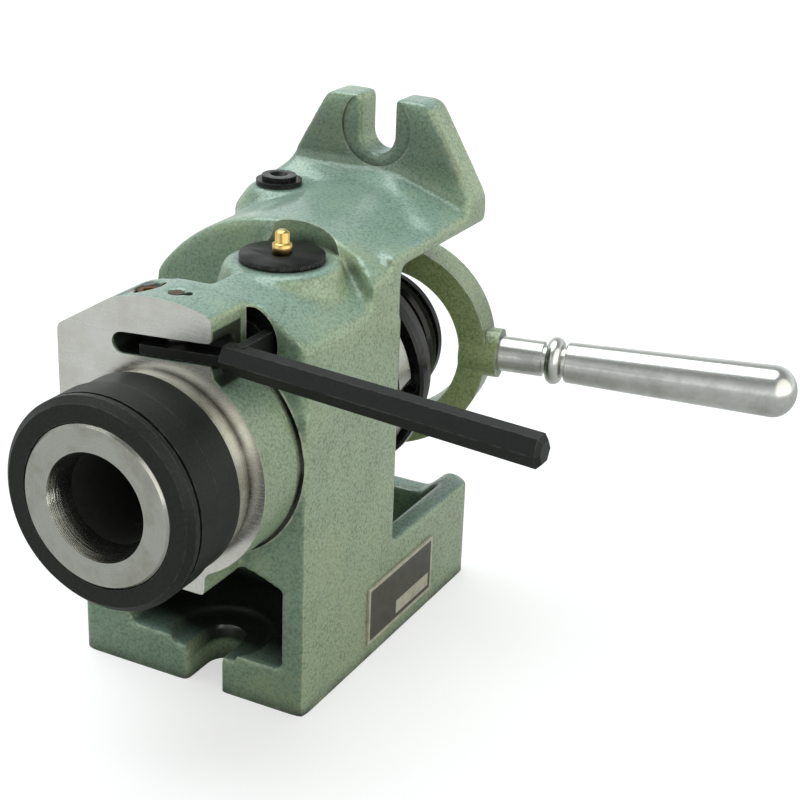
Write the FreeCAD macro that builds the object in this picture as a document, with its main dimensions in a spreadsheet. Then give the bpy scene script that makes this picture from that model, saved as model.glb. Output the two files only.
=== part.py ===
import FreeCAD, Part
import math
import os
import re

import Sketcher

# Collet index fixture for a 5C spindle, for use on its base or on its rear face.
# Millimetres. X = 0 is the plane through the spindle axis, with +X towards the name plate.
# The spindle nose points along -Y, Y = 0 is the middle of the base, and Z = 0 is its underside.

doc = FreeCAD.newDocument("ColletIndexFixture")
sheet = doc.addObject("Spreadsheet::Sheet", "Sizes")

SIZES = {
    # Base
    "axis_height": 95.0,
    "base_left": 53.0,
    "base_right": 41.0,
    "base_half_length": 65.0,
    "base_wall_height": 40.0,
    "base_wall": 9.0,
    "floor_height": 16.5,
    "corner_round": 5.0,
    "slot_width": 14.0,
    "front_slot_depth": 21.0,
    "rear_slot_depth": 20.0,
    "foot_spot_radius": 18.0,
    "foot_spot_height": 13.8,
    "foot_spot_back": 13.0,
    "rear_gap_half": 23.0,
    "rear_gap_slope": 8.0,
    "rear_gap_height": 32.5,
    "rear_slot_rise": 26.0,
    # Column and front pocket
    "column_length": 65.0,
    "column_left": 41.0,
    "shoulder_radius": 57.0,
    "crown_height": 148.5,
    "pocket_half": 32.0,
    "pocket_side_height": 47.0,
    "pocket_peak_half": 14.0,
    "pocket_peak_height": 53.2,
    "pocket_back_wall": 12.0,
    # Front housing, tower and tab
    "housing_length": 22.0,
    "housing_radius": 39.0,
    "tower_left": 41.0,
    "tower_right": 19.0,
    "tower_radius": 57.5,
    "tower_chamfer_side": 19.5,
    "tower_chamfer_height": 136.0,
    "tab_half": 15.7,
    "tab_height": 51.5,
    "tower_slot_half": 3.75,
    "tower_slot_left": 15.6,
    "tower_slot_depth": 14.0,
    "tower_slot_middle": 135.9,
    "tower_slot_slope": 0.075,
    "recess_radius": 13.0,
    "recess_depth": 9.0,
    # Slab, ramp, boss and ear over the closer
    "slab_left": 40.0,
    "slab_top": 152.0,
    "slab_bottom": 146.0,
    "slab_front_right": 22.0,
    "slab_front_left": 29.0,
    "slab_front_half": 8.0,
    "slab_front_gap": 3.0,
    "slab_root": 112.0,
    "ramp_start": 4.0,
    "ramp_top": 163.5,
    "ramp_edge": 158.0,
    "ramp_left": 34.0,
    "ramp_right": 7.0,
    "ear_thick": 13.0,
    "ear_top": 190.5,
    "ear_half": 21.0,
    "ear_shoulder_height": 157.0,
    "ear_round": 6.0,
    "ear_slot_bottom": 168.7,
    "ear_spot_height": 179.0,
    "ear_spot_radius": 14.5,
    "ear_spot_depth": 1.2,
    "boss_side": 27.0,
    "boss_back": 28.0,
    "boss_radius": 12.0,
    "boss_top": 158.5,
    # Spindle and what turns with it
    "nose_radius": 27.78,
    "nose_front": 123.6,
    "nose_chamfer": 1.0,
    "mouth_radius": 18.5,
    "mouth_depth": 9.4,
    "collet_bore": 15.95,
    "collet_bore_end": 62.0,
    "journal_radius": 22.0,
    "spindle_tail": 15.5,
    "tail_radius": 19.5,
    "protector_front": 123.0,
    "protector_radius": 36.0,
    "protector_rear": 108.0,
    "protector_chamfer": 2.2,
    "groove_back": 4.0,
    "groove_width": 1.2,
    "groove_depth": 1.0,
    "dust_radius": 35.0,
    "ring_gap": 0.3,
    "cap_radius": 33.5,
    "cap_thick": 8.0,
    "cap_gap": 0.25,
    "chamber_radius": 31.5,
    "chamber_depth": 16.0,
    "index_radius": 31.0,
    "index_thick": 12.0,
    "index_front": 85.5,
    "notch_count": 24.0,
    "notch_depth": 2.0,
    "notch_half": 1.9,
    "notch_floor_half": 0.9,
    "bearing_radius": 27.0,
    "front_bush_length": 18.0,
    "rear_bush_length": 16.0,
    "rear_cap_radius": 36.0,
    "rear_cap_thick": 4.5,
    "nut_radius": 30.0,
    "nut_thick": 9.0,
    "nut_slot": 5.0,
    "key_radius": 1.5,
    "key_reach": 1.1,
    "key_back": 100.0,
    "key_depth": 1.5,
    "edge_chamfer": 1.0,
    # Closer
    "flange_front": 17.6,
    "flange_radius": 41.4,
    "flange_thick": 4.2,
    "flange_hub_radius": 33.0,
    "flange_hub_length": 1.8,
    "spanner_hole_radius": 2.5,
    "spanner_hole_count": 8.0,
    "spanner_hole_circle": 36.5,
    "carrier_radius": 38.0,
    "carrier_length": 10.0,
    "carrier_neck_radius": 30.0,
    "carrier_neck_length": 4.0,
    "neck_end_radius": 24.0,
    "sleeve_radius": 19.5,
    "sleeve_rear": 62.5,
    "tube_radius": 17.1,
    "tube_bore": 13.2,
    "tube_front": 60.0,
    "tube_rear": 63.0,
    "collar_radius": 28.8,
    "collar_rear_radius": 26.5,
    "collar_front": 7.8,
    "collar_rear": 7.2,
    "trunnion_rear": 56.84,
    "collar_play": 0.3,
    "collar_groove_radius": 22.3,
    "collar_chamfer": 1.2,
    # Yoke and handle
    "yoke_turn": 11.0,
    "pivot_side": 47.0,
    "yoke_ring_radius": 41.5,
    "yoke_hole_radius": 31.0,
    "yoke_spread": 5.4,
    "yoke_thick": 16.0,
    "pivot_hub_radius": 7.0,
    "pivot_hub_top": 119.7,
    "pivot_post_top": 70.0,
    "pivot_post_half": 6.0,
    "pivot_post_length": 18.0,
    "pivot_pin_radius": 4.0,
    "pivot_pin_depth": 18.0,
    "pivot_head_radius": 6.5,
    "pivot_head_height": 4.5,
    "trunnion_radius": 3.0,
    "trunnion_tip": 22.9,
    "trunnion_head_radius": 5.0,
    "trunnion_head": 3.6,
    "handle_root_radius": 9.5,
    "handle_root_end": 99.0,
    "handle_neck_radius": 6.75,
    "handle_collar_start": 117.5,
    "handle_collar_end": 123.5,
    "handle_collar_radius": 9.1,
    "grip_start_radius": 7.75,
    "grip_end_radius": 9.75,
    "grip_end": 205.0,
    "handle_end": 212.0,
    "handle_stud": 10.0,
    "stud_radius": 5.0,
    "handle_dome": 11.0,
    # Index lever and plunger
    "lever_pivot_side": 17.5,
    "lever_pivot_height": 135.5,
    "lever_pin_radius": 4.0,
    "lever_head_radius": 6.5,
    "lever_head": 4.0,
    "lever_pin_depth": 10.0,
    "lever_hub_radius": 9.0,
    "lever_neck_left": 24.4,
    "lever_neck_right": 27.8,
    "lever_rod_start": 21.5,
    "lever_rod_back": 5.0,
    "lever_rod_height": 136.0,
    "lever_rod_length": 109.0,
    "lever_rod_slope": 3.3,
    "lever_rod_half": 4.3,
    "lever_rod_growth": 0.45,
    "blade_end": 9.0,
    "blade_thick": 3.4,
    "blade_depth": 8.0,
    "blade_gap": 0.3,
    "blade_play": 0.9,
    "lever_tip_chamfer": 1.5,
    "plunger_back": 78.0,
    "plunger_radius": 3.6,
    "plunger_play": 0.3,
    "wedge_half_length": 3.0,
    "wedge_play": 0.12,
    "plunger_top": 144.0,
    "spring_top": 149.9,
    "spring_wire": 0.9,
    "pin_radius": 2.4,
    "pin_height": 2.2,
    "set_screw_side": 12.5,
    "set_screw_back": 75.0,
    "set_screw_radius": 4.2,
    "set_screw_length": 9.0,
    "set_screw_top": 149.5,
    "screw_socket": 2.2,
    # Top plug and oiler
    "cover_side": 4.5,
    "cover_back": 23.0,
    "cover_radius": 15.5,
    "cover_thick": 2.2,
    "cover_spot_radius": 19.8,
    "cover_shank_radius": 12.0,
    "cover_shank": 8.0,
    "oiler_base_radius": 3.7,
    "oiler_base": 4.2,
    "oiler_cap_radius": 2.7,
    "oiler_height": 10.2,
    # Lock screw
    "lock_radius": 5.0,
    "lock_nut_radius": 8.6,
    "lock_nut_thick": 3.2,
    "lock_head_radius": 6.4,
    "lock_top": 166.0,
    "lock_socket": 3.2,
    "lock_pad_radius": 3.5,
    "lock_pad_thick": 2.0,
    # Name plate
    "plate_front": 19.4,
    "plate_length": 50.8,
    "plate_bottom": 6.0,
    "plate_height": 23.0,
    "plate_thick": 0.8,
    # Fits
    "running_fit": 0.05,
    "seat_fit": 0.03,
}

for row, (name, value) in enumerate(SIZES.items(), start=1):
    sheet.set("A%d" % row, name)
    sheet.set("B%d" % row, str(value))
    sheet.setAlias("B%d" % row, name)
doc.recompute()

WORD = re.compile(r"\b[a-z][a-z_]*[a-z]\b")


def ref(text):
    """Turn a formula in size names into one that reads the sheet."""
    def swap(found):
        word = found.group(0)
        return "Sizes." + word if word in SIZES else word
    return WORD.sub(swap, text)


def number(text):
    return float(sheet.evalExpression(ref(text)))


def new_body(label, x="0", y="0", z="0", turn=None):
    """A body with its own label, placed by formulas, turned about Z if asked."""
    body = doc.addObject("PartDesign::Body", label)
    body.Label = label
    if turn:
        body.Placement.Rotation = FreeCAD.Rotation(FreeCAD.Vector(0, 0, 1), number(turn))
        body.setExpression("Placement.Rotation.Angle", ref(turn))
    body.setExpression("Placement.Base.x", ref(x))
    body.setExpression("Placement.Base.y", ref(y))
    body.setExpression("Placement.Base.z", ref(z))
    return body


# A sketch plane's role in the body and the sign of its offset along the model's axis
PLANES = {"top": ("XY_Plane", ""), "front": ("XZ_Plane", "-"), "side": ("YZ_Plane", "")}


def new_sketch(body, plane, at):
    role, sign = PLANES[plane]
    sketch = body.newObject("Sketcher::SketchObject", body.Label + "_sketch")
    support = [plane for plane in body.Origin.OriginFeatures if plane.Role == role][0]
    sketch.AttachmentSupport = (support, [""])
    sketch.MapMode = "FlatFace"
    sketch.setExpression("AttachmentOffset.Base.z", ref("%s(%s)" % (sign, at)))
    return sketch


def fix(sketch, kind, geo, end, text):
    index = sketch.addConstraint(Sketcher.Constraint(kind, -1, 1, geo, end, number(text)))
    sketch.setExpression("Constraints[%d]" % index, ref(text))


def arc_between(start, end, radius, side):
    """The short arc from start to end that bulges to the left (side 1) or right (side -1)."""
    chord = end - start
    middle = (start + end) * 0.5
    across = FreeCAD.Vector(-chord.y, chord.x, 0).normalize() * side
    rise = math.sqrt(max(radius * radius - chord.Length * chord.Length / 4, 0))
    centre = middle - across * rise
    top = centre + across * radius
    return Part.Arc(start, top, end)


def outline(body, plane, at, points):
    """A closed outline of corners (x, y). A corner (x, y, radius, side) starts an arc."""
    sketch = new_sketch(body, plane, at)
    count = len(points)
    places = [FreeCAD.Vector(number(point[0]), number(point[1]), 0) for point in points]
    ends = []
    for i, point in enumerate(points):
        start, end = places[i], places[(i + 1) % count]
        if len(point) == 4:
            arc = arc_between(start, end, number(point[2]), point[3])
            geo = sketch.addGeometry(arc)
            near_start = (sketch.Geometry[geo].StartPoint - start).Length
            far_start = (sketch.Geometry[geo].EndPoint - start).Length
            ends.append((geo, 1, 2) if near_start < far_start else (geo, 2, 1))
        else:
            geo = sketch.addGeometry(Part.LineSegment(start, end))
            ends.append((geo, 1, 2))
    for i in range(count):
        geo, first, last = ends[i]
        next_geo, next_first, next_last = ends[(i + 1) % count]
        sketch.addConstraint(Sketcher.Constraint("Coincident", geo, last, next_geo, next_first))
    for i, point in enumerate(points):
        geo, first, last = ends[i]
        fix(sketch, "DistanceX", geo, first, point[0])
        fix(sketch, "DistanceY", geo, first, point[1])
        if len(point) == 4:
            index = sketch.addConstraint(Sketcher.Constraint("Radius", geo, number(point[2])))
            sketch.setExpression("Constraints[%d]" % index, ref(point[2]))
    return sketch


def circle(body, plane, at, x, y, radius):
    sketch = new_sketch(body, plane, at)
    centre = FreeCAD.Vector(number(x), number(y), 0)
    geo = sketch.addGeometry(Part.Circle(centre, FreeCAD.Vector(0, 0, 1), number(radius)))
    fix(sketch, "DistanceX", geo, 3, x)
    fix(sketch, "DistanceY", geo, 3, y)
    index = sketch.addConstraint(Sketcher.Constraint("Radius", geo, number(radius)))
    sketch.setExpression("Constraints[%d]" % index, ref(radius))
    return sketch


def box_outline(x_low, y_low, x_high, y_high):
    return [(x_low, y_low), (x_high, y_low), (x_high, y_high), (x_low, y_high)]


def extrude(body, kind, sketch, length):
    """A pad or pocket that reaches half its length to each side of its sketch."""
    doc.recompute()
    feature = body.newObject("PartDesign::" + kind, body.Label + "_" + kind.lower())
    feature.Profile = (sketch, [""])
    feature.SideType = "Symmetric"
    feature.setExpression("Length", ref(length))
    doc.recompute()
    return feature


def between(body, kind, plane, low, high, points):
    """Extrude an outline from low to high along the plane's axis."""
    middle = "((%s) + (%s)) / 2" % (low, high)
    sketch = outline(body, plane, middle, points)
    return extrude(body, kind, sketch, "(%s) - (%s)" % (high, low))


def round_between(body, kind, plane, low, high, x, y, radius):
    middle = "((%s) + (%s)) / 2" % (low, high)
    sketch = circle(body, plane, middle, x, y, radius)
    return extrude(body, kind, sketch, "(%s) - (%s)" % (high, low))


def turn_profile(body, kind, plane, axis, points):
    """Revolve an outline about the sketch's own axis, as added or removed material."""
    sketch = outline(body, plane, "0", points)
    doc.recompute()
    feature = body.newObject("PartDesign::" + kind, body.Label + "_" + kind.lower())
    feature.Profile = (sketch, [""])
    feature.ReferenceAxis = (sketch, [axis])
    feature.Angle = 360
    doc.recompute()
    return feature


def pattern_about(body, feature, axis_role, count):
    """Repeat a feature about one of the body's own axes and make the pattern the tip."""
    pattern = body.newObject("PartDesign::PolarPattern", body.Label + "_pattern")
    axis = [line for line in body.Origin.OriginFeatures if line.Role == axis_role][0]
    pattern.Originals = [feature]
    pattern.Axis = (axis, [""])
    pattern.Angle = 360
    pattern.setExpression("Occurrences", ref(count))
    body.Tip = pattern
    doc.recompute()
    return pattern


def round_edges(body, radius, test):
    """Round the edges of the body's present shape that pass the test."""
    tip = body.Tip
    names = ["Edge%d" % (i + 1) for i, edge in enumerate(tip.Shape.Edges) if test(edge)]
    fillet = body.newObject("PartDesign::Fillet", body.Label + "_round")
    fillet.Base = (tip, names)
    fillet.setExpression("Radius", ref(radius))
    doc.recompute()
    return fillet


def stands_at(x, y):
    """Test for an upright edge at x, y."""
    def test(edge):
        box = edge.BoundBox
        thin = box.XLength < 0.01 and box.YLength < 0.01
        return thin and abs(box.XMin - x) < 0.01 and abs(box.YMin - y) < 0.01
    return test


def lies_along_y(x, z):
    """Test for an edge along Y at x, z."""
    def test(edge):
        box = edge.BoundBox
        thin = box.XLength < 0.01 and box.ZLength < 0.01
        return thin and abs(box.XMin - x) < 0.01 and abs(box.ZMin - z) < 0.01
    return test


FRONT = "-base_half_length"
REAR = "base_half_length"
COLUMN_REAR = "-base_half_length + column_length"
HOUSING_FRONT = "-base_half_length - housing_length"
CAP_FRONT = HOUSING_FRONT + " - cap_thick"
DUST_REAR = CAP_FRONT + " - ring_gap"
EAR_FRONT = "base_half_length - ear_thick"
CROWN_HALF = "sqrt(pow(shoulder_radius; 2) - pow(crown_height - axis_height; 2))"
SHOULDER = "axis_height + sqrt(pow(shoulder_radius; 2) - pow(base_right; 2))"
SHOULDER_LEFT = "axis_height + sqrt(pow(shoulder_radius; 2) - pow(column_left; 2))"
TOWER_ARC_LEFT = "axis_height + sqrt(pow(tower_radius; 2) - pow(tower_chamfer_side; 2))"
TOWER_ARC_RIGHT = "axis_height + sqrt(pow(tower_radius; 2) - pow(tower_right; 2))"
PIVOT_Y = "trunnion_rear - pivot_side * tan(yoke_turn)"
YOKE_MIDDLE = "pivot_side / cos(yoke_turn)"
FLANGE_REAR = "flange_front + flange_thick"
CARRIER_REAR = FLANGE_REAR + " + carrier_length"
NECK_REAR = CARRIER_REAR + " + carrier_neck_length"
LEVER_Y = HOUSING_FRONT + " + lever_rod_back"
NOTCH_BACK = "plunger_back + (%s) + blade_depth / 2 + ring_gap" % LEVER_Y


def cut_slot(body, plane, low, high, round_end, open_end):
    """A U-slot one slot width wide, centred on X = 0, with its round end at round_end."""
    start, end = ("(%s)" % round_end, open_end)
    between(body, "Pocket", plane, low, high,
            [("-slot_width / 2", start), ("slot_width / 2", start), ("slot_width / 2", end), ("-slot_width / 2", end)])
    round_between(body, "Pocket", plane, low, high, "0", start, "slot_width / 2")


def make_base(body):
    """The hollow base: walls and floor behind the column, and the dip in the rear wall."""
    between(body, "Pad", "top", "0", "base_wall_height",
            box_outline("-base_left", FRONT, "base_right", REAR))
    between(body, "Pocket", "top", "floor_height", "base_wall_height + 1",
            box_outline("-base_left + base_wall", COLUMN_REAR, "base_right - base_wall", "base_half_length - base_wall"))
    dip = "rear_gap_half + rear_gap_slope"
    between(body, "Pocket", "front", "base_half_length - base_wall - 1", "base_half_length + 1",
            [("-(%s)" % dip, "base_wall_height"), ("-rear_gap_half", "rear_gap_height"),
             ("rear_gap_half", "rear_gap_height"), (dip, "base_wall_height"),
             (dip, "base_wall_height + 1"), ("-(%s)" % dip, "base_wall_height + 1")])


def make_column(body):
    """The column, with rounded shoulders about the spindle axis and a flat crown."""
    between(body, "Pad", "front", FRONT, COLUMN_REAR,
            [("-column_left", "floor_height"), ("base_right", "floor_height"),
             ("base_right", SHOULDER, "shoulder_radius", -1), (CROWN_HALF, "crown_height"),
             ("-(%s)" % CROWN_HALF, "crown_height", "shoulder_radius", -1),
             ("-column_left", SHOULDER_LEFT)])
    for x in ("-base_left", "-column_left", "base_right"):
        for y in (FRONT, REAR):
            if x != "-column_left" or y == FRONT:
                round_edges(body, "corner_round", stands_at(number(x), number(y)))


def make_slab(body):
    """The slab over the closer: its root on the column, the ramp up to the ear, and the screw boss."""
    front = [("-slab_left", "-slab_front_left"), ("-slab_front_half", "-slab_front_gap"),
             ("slab_front_half", "-slab_front_gap"), ("base_right", "-slab_front_right")]
    between(body, "Pad", "top", "slab_root", "slab_top",
            front + [("base_right", COLUMN_REAR), ("-slab_left", COLUMN_REAR)])
    between(body, "Pad", "top", "slab_bottom", "slab_top",
            front + [("base_right", EAR_FRONT), ("-slab_left", EAR_FRONT)])
    between(body, "Pad", "front", "ramp_start", EAR_FRONT,
            [("-slab_left", "slab_bottom"), ("base_right", "slab_bottom"), ("base_right", "slab_top"),
             ("ramp_right", "ramp_top"), ("-ramp_left", "ramp_top"), ("-slab_left", "ramp_edge")])
    over = "ramp_top + ear_thick"
    between(body, "Pocket", "side", "-base_left", "base_right + 1",
            [("ramp_start", "slab_top"), (EAR_FRONT, "ramp_top"), (EAR_FRONT, over), ("ramp_start", over)])
    round_between(body, "Pad", "top", "slab_bottom", "boss_top", "-boss_side", "boss_back", "boss_radius")
    round_between(body, "Pocket", "top", "boss_top", "ramp_top", "-boss_side", "boss_back", "boss_radius")
    round_between(body, "Pocket", "top", "slab_bottom - 1", "boss_top + 1",
                  "-boss_side", "boss_back", "lock_radius + seat_fit")


def make_ear(body):
    """The upright ear at the rear, with its open slot and spot face."""
    between(body, "Pad", "front", EAR_FRONT, REAR,
            [("-slab_left", "slab_bottom"), ("base_right", "slab_bottom"), ("base_right", "ear_shoulder_height"),
             ("ear_half", "ear_top"), ("-ear_half", "ear_top"), ("-slab_left", "ear_shoulder_height")])
    round_between(body, "Pocket", "front", EAR_FRONT + " - 1", EAR_FRONT + " + ear_spot_depth",
                  "0", "ear_spot_height", "ear_spot_radius")
    cut_slot(body, "front", EAR_FRONT + " - 1", REAR + " + 1", "ear_slot_bottom + slot_width / 2", "ear_top + 1")
    for x in ("-ear_half", "ear_half"):
        round_edges(body, "ear_round", lies_along_y(number(x), number("ear_top")))


def make_housing(body):
    """The round front housing with the index tower above it and the tab below."""
    round_between(body, "Pad", "front", HOUSING_FRONT, FRONT, "0", "axis_height", "housing_radius")
    between(body, "Pad", "front", HOUSING_FRONT, FRONT,
            [("tower_right", "axis_height"), ("tower_right", TOWER_ARC_RIGHT, "tower_radius", -1),
             ("-tower_chamfer_side", TOWER_ARC_LEFT), ("-tower_left", "tower_chamfer_height"),
             ("-tower_left", "axis_height")])
    between(body, "Pad", "front", HOUSING_FRONT, FRONT,
            box_outline("-tab_half", "tab_height", "tab_half", "axis_height"))


def cut_lever_slot(body):
    """The sloping slot for the lever's blade and the round recess for its hub."""
    low = HOUSING_FRONT + " - 1"
    left = "tower_slot_middle - tower_slot_slope * tower_slot_left"
    right = "tower_slot_middle + tower_slot_slope * base_right"
    between(body, "Pocket", "front", low, HOUSING_FRONT + " + tower_slot_depth",
            [("-tower_slot_left", left + " - tower_slot_half"), ("base_right", right + " - tower_slot_half"),
             ("base_right", right + " + tower_slot_half"), ("-tower_slot_left", left + " + tower_slot_half")])
    round_between(body, "Pocket", "front", low, HOUSING_FRONT + " + tower_slot_depth",
                  "-tower_slot_left", left, "tower_slot_half")
    round_between(body, "Pocket", "front", FRONT, FRONT + " + recess_depth",
                  "lever_pivot_side", "lever_pivot_height", "recess_radius")
    round_between(body, "Pocket", "front", FRONT, FRONT + " + recess_depth + lever_pin_depth",
                  "lever_pivot_side", "lever_pivot_height", "lever_pin_radius + seat_fit")


def cut_bores(body):
    """The spindle bore, the index chamber, and the bores for plunger, spring pin and set screw."""
    round_between(body, "Pocket", "front", HOUSING_FRONT + " - 1", COLUMN_REAR + " + 1",
                  "0", "axis_height", "bearing_radius + seat_fit")
    round_between(body, "Pocket", "front", HOUSING_FRONT + " - 1", HOUSING_FRONT + " + chamber_depth",
                  "0", "axis_height", "chamber_radius")
    round_between(body, "Pocket", "top", "axis_height + bearing_radius", "spring_top",
                  "0", "-plunger_back", "plunger_radius + running_fit")
    round_between(body, "Pocket", "top", "spring_top", "tower_radius + axis_height + 1",
                  "0", "-plunger_back", "pin_radius + seat_fit")
    round_between(body, "Pocket", "top", "tower_slot_middle", "tower_radius + axis_height + 1",
                  "-set_screw_side", "-set_screw_back", "set_screw_radius + seat_fit")


def cut_cover_seat(body):
    """The spot face and hole of the cover in the crown."""
    round_between(body, "Pocket", "top", "crown_height", "ear_top",
                  "cover_side", "-cover_back", "cover_spot_radius")
    round_between(body, "Pocket", "top", "crown_height - cover_shank - 1", "crown_height + 1",
                  "cover_side", "-cover_back", "cover_shank_radius + seat_fit")


def cut_foot(body):
    """The front pocket under the housing, its spot face, and the slots for the mounting bolts."""
    between(body, "Pocket", "front", FRONT + " - 1", COLUMN_REAR + " - pocket_back_wall",
            [("-pocket_half", "floor_height"), ("pocket_half", "floor_height"), ("pocket_half", "pocket_side_height"),
             ("pocket_peak_half", "pocket_peak_height"), ("-pocket_peak_half", "pocket_peak_height"),
             ("-pocket_half", "pocket_side_height")])
    round_between(body, "Pocket", "top", "foot_spot_height", "floor_height + 1",
                  "0", FRONT + " + foot_spot_back", "foot_spot_radius")
    cut_slot(body, "top", "-1", "floor_height + 1",
             FRONT + " + front_slot_depth - slot_width / 2", FRONT + " - 1")
    cut_slot(body, "top", "-1", "floor_height + 1",
             REAR + " - rear_slot_depth + slot_width / 2", REAR + " + 1")
    cut_slot(body, "front", "base_half_length - base_wall - 1", REAR + " + 1",
             "rear_slot_rise - slot_width / 2", "-1")


def make_pivot_post(body):
    """The post on the left wall that carries the closer yoke."""
    between(body, "Pad", "top", "floor_height", "pivot_post_top",
            box_outline("-base_left", PIVOT_Y + " - pivot_post_length / 2",
                        "-pivot_side + pivot_post_half", PIVOT_Y + " + pivot_post_length / 2"))
    round_between(body, "Pocket", "top", "pivot_post_top - pivot_pin_depth - 1", "pivot_post_top + 1",
                  "-pivot_side", PIVOT_Y, "pivot_pin_radius + seat_fit")


def body_casting():
    body = new_body("body_casting")
    make_base(body)
    make_column(body)
    make_slab(body)
    make_ear(body)
    make_housing(body)
    make_pivot_post(body)
    cut_lever_slot(body)
    cut_bores(body)
    cut_cover_seat(body)
    cut_foot(body)


def ring(label, front, rear, inner, outer):
    """A plain ring on the spindle axis, from front to rear along Y."""
    body = new_body(label, z="axis_height")
    turn_profile(body, "Revolution", "top", "V_Axis", box_outline(inner, front, outer, rear))
    return body


def fixed_rings():
    """The bearing caps and the two bronze bushes that carry the spindle."""
    ring("front_bearing_cap", CAP_FRONT, HOUSING_FRONT, "journal_radius + cap_gap", "cap_radius")
    front_bush = HOUSING_FRONT + " + chamber_depth"
    ring("front_bush", front_bush, front_bush + " + front_bush_length",
         "journal_radius + running_fit", "bearing_radius")
    ring("rear_bush", COLUMN_REAR + " - rear_bush_length", COLUMN_REAR,
         "journal_radius + running_fit", "bearing_radius")
    ring("rear_bearing_cap", COLUMN_REAR, COLUMN_REAR + " + rear_cap_thick",
         "tail_radius + cap_gap", "rear_cap_radius")


def spindle():
    """The hollow spindle: tapered mouth, collet bore, journal and threaded tail."""
    body = new_body("spindle", z="axis_height")
    turn_profile(body, "Revolution", "top", "V_Axis",
                 [("mouth_radius", "-nose_front"), ("nose_radius - nose_chamfer", "-nose_front"),
                  ("nose_radius", "-nose_front + nose_chamfer"), ("nose_radius", DUST_REAR),
                  ("journal_radius", DUST_REAR), ("journal_radius", COLUMN_REAR),
                  ("tail_radius", COLUMN_REAR), ("tail_radius", "spindle_tail"),
                  ("tube_radius + running_fit", "spindle_tail"), ("tube_radius + running_fit", "-collet_bore_end"),
                  ("collet_bore", "-collet_bore_end"), ("collet_bore", "-nose_front + mouth_depth")])
    key = new_body("collet_key", y="-key_back", z="axis_height")
    round_between(key, "Pad", "top", "-collet_bore - key_depth", "-collet_bore + key_reach", "0", "0", "key_radius")
    round_between(body, "Pocket", "top", "-collet_bore - key_depth", "-collet_bore + key_reach",
                  "0", "-key_back", "key_radius + seat_fit")


def nose_rings():
    """The black protector nut on the nose thread and the dust ring behind it."""
    protector = new_body("nose_protector", z="axis_height")
    groove = "-protector_front + groove_back"
    turn_profile(protector, "Revolution", "top", "V_Axis",
                 [("nose_radius + seat_fit", "-protector_front"),
                  ("protector_radius - protector_chamfer", "-protector_front"),
                  ("protector_radius", "-protector_front + protector_chamfer"), ("protector_radius", groove),
                  ("protector_radius - groove_depth", groove),
                  ("protector_radius - groove_depth", groove + " + groove_width"),
                  ("protector_radius", groove + " + groove_width"), ("protector_radius", "-protector_rear"),
                  ("nose_radius + seat_fit", "-protector_rear")])
    ring("dust_ring", "-protector_rear + ring_gap", DUST_REAR, "nose_radius + seat_fit", "dust_radius")


def index_ring():
    """The index ring: a steel ring with straight-sided notches about its rim."""
    body = ring("index_ring", "-index_front", "-index_front + index_thick",
                "journal_radius + seat_fit", "index_radius")
    notch = between(body, "Pocket", "front", "-index_front", "-index_front + index_thick",
                    [("-notch_floor_half", "index_radius - notch_depth"),
                     ("notch_floor_half", "index_radius - notch_depth"),
                     ("notch_half", "index_radius + 1"), ("-notch_half", "index_radius + 1")])
    pattern_about(body, notch, "Y_Axis", "notch_count")


def rear_rings():
    """The spindle nut and the closer: flange with spanner holes, carrier and sleeve."""
    nut = ring("spindle_nut", "rear_cap_thick + ring_gap", "rear_cap_thick + ring_gap + nut_thick",
               "tail_radius + seat_fit", "nut_radius")
    slot = between(nut, "Pocket", "front", "rear_cap_thick", "rear_cap_thick + ring_gap + nut_thick + 1",
                   box_outline("-nut_slot / 2", "nut_radius - nut_slot / 2", "nut_slot / 2", "nut_radius + 1"))
    pattern_about(nut, slot, "Y_Axis", "4")
    flange = new_body("adjusting_ring", z="axis_height")
    hub_front = "flange_front - flange_hub_length"
    bore = "sleeve_radius + seat_fit"
    turn_profile(flange, "Revolution", "top", "V_Axis",
                 [(bore, hub_front), ("flange_hub_radius", hub_front), ("flange_hub_radius", "flange_front"),
                  ("flange_radius - edge_chamfer", "flange_front"), ("flange_radius", "flange_front + edge_chamfer"),
                  ("flange_radius", FLANGE_REAR), (bore, FLANGE_REAR)])
    hole = round_between(flange, "Pocket", "front", "flange_front - 1", FLANGE_REAR + " + 1",
                         "0", "spanner_hole_circle", "spanner_hole_radius")
    pattern_about(flange, hole, "Y_Axis", "spanner_hole_count")
    carrier = new_body("closer_carrier", z="axis_height")
    turn_profile(carrier, "Revolution", "top", "V_Axis",
                 [(bore, FLANGE_REAR), ("carrier_radius", FLANGE_REAR),
                  ("carrier_radius", CARRIER_REAR + " - edge_chamfer"),
                  ("carrier_radius - edge_chamfer", CARRIER_REAR),
                  ("carrier_neck_radius", CARRIER_REAR), ("neck_end_radius", NECK_REAR), (bore, NECK_REAR)])
    ring("closer_sleeve", hub_front, "sleeve_rear", "tube_radius + running_fit", "sleeve_radius")


def draw_tube():
    """The draw tube that pulls the collet, sliding inside the spindle and the closer."""
    ring("draw_tube", "-tube_front", "tube_rear", "tube_bore", "tube_radius")


def closing_collar():
    """The collar that the yoke slides along the sleeve, with the groove for the trunnions."""
    body = new_body("closing_collar", y="trunnion_rear", z="axis_height")
    groove = "trunnion_radius + collar_play"
    turn_profile(body, "Revolution", "top", "V_Axis",
                 [("sleeve_radius + running_fit", "-collar_front"),
                  ("collar_radius - collar_chamfer", "-collar_front"),
                  ("collar_radius", "-collar_front + collar_chamfer"), ("collar_radius", "-(%s)" % groove),
                  ("collar_groove_radius", "-(%s)" % groove), ("collar_groove_radius", groove),
                  ("collar_rear_radius", groove), ("collar_rear_radius", "collar_rear - collar_chamfer"),
                  ("collar_rear_radius - collar_chamfer", "collar_rear"),
                  ("sleeve_radius + running_fit", "collar_rear")])


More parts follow.
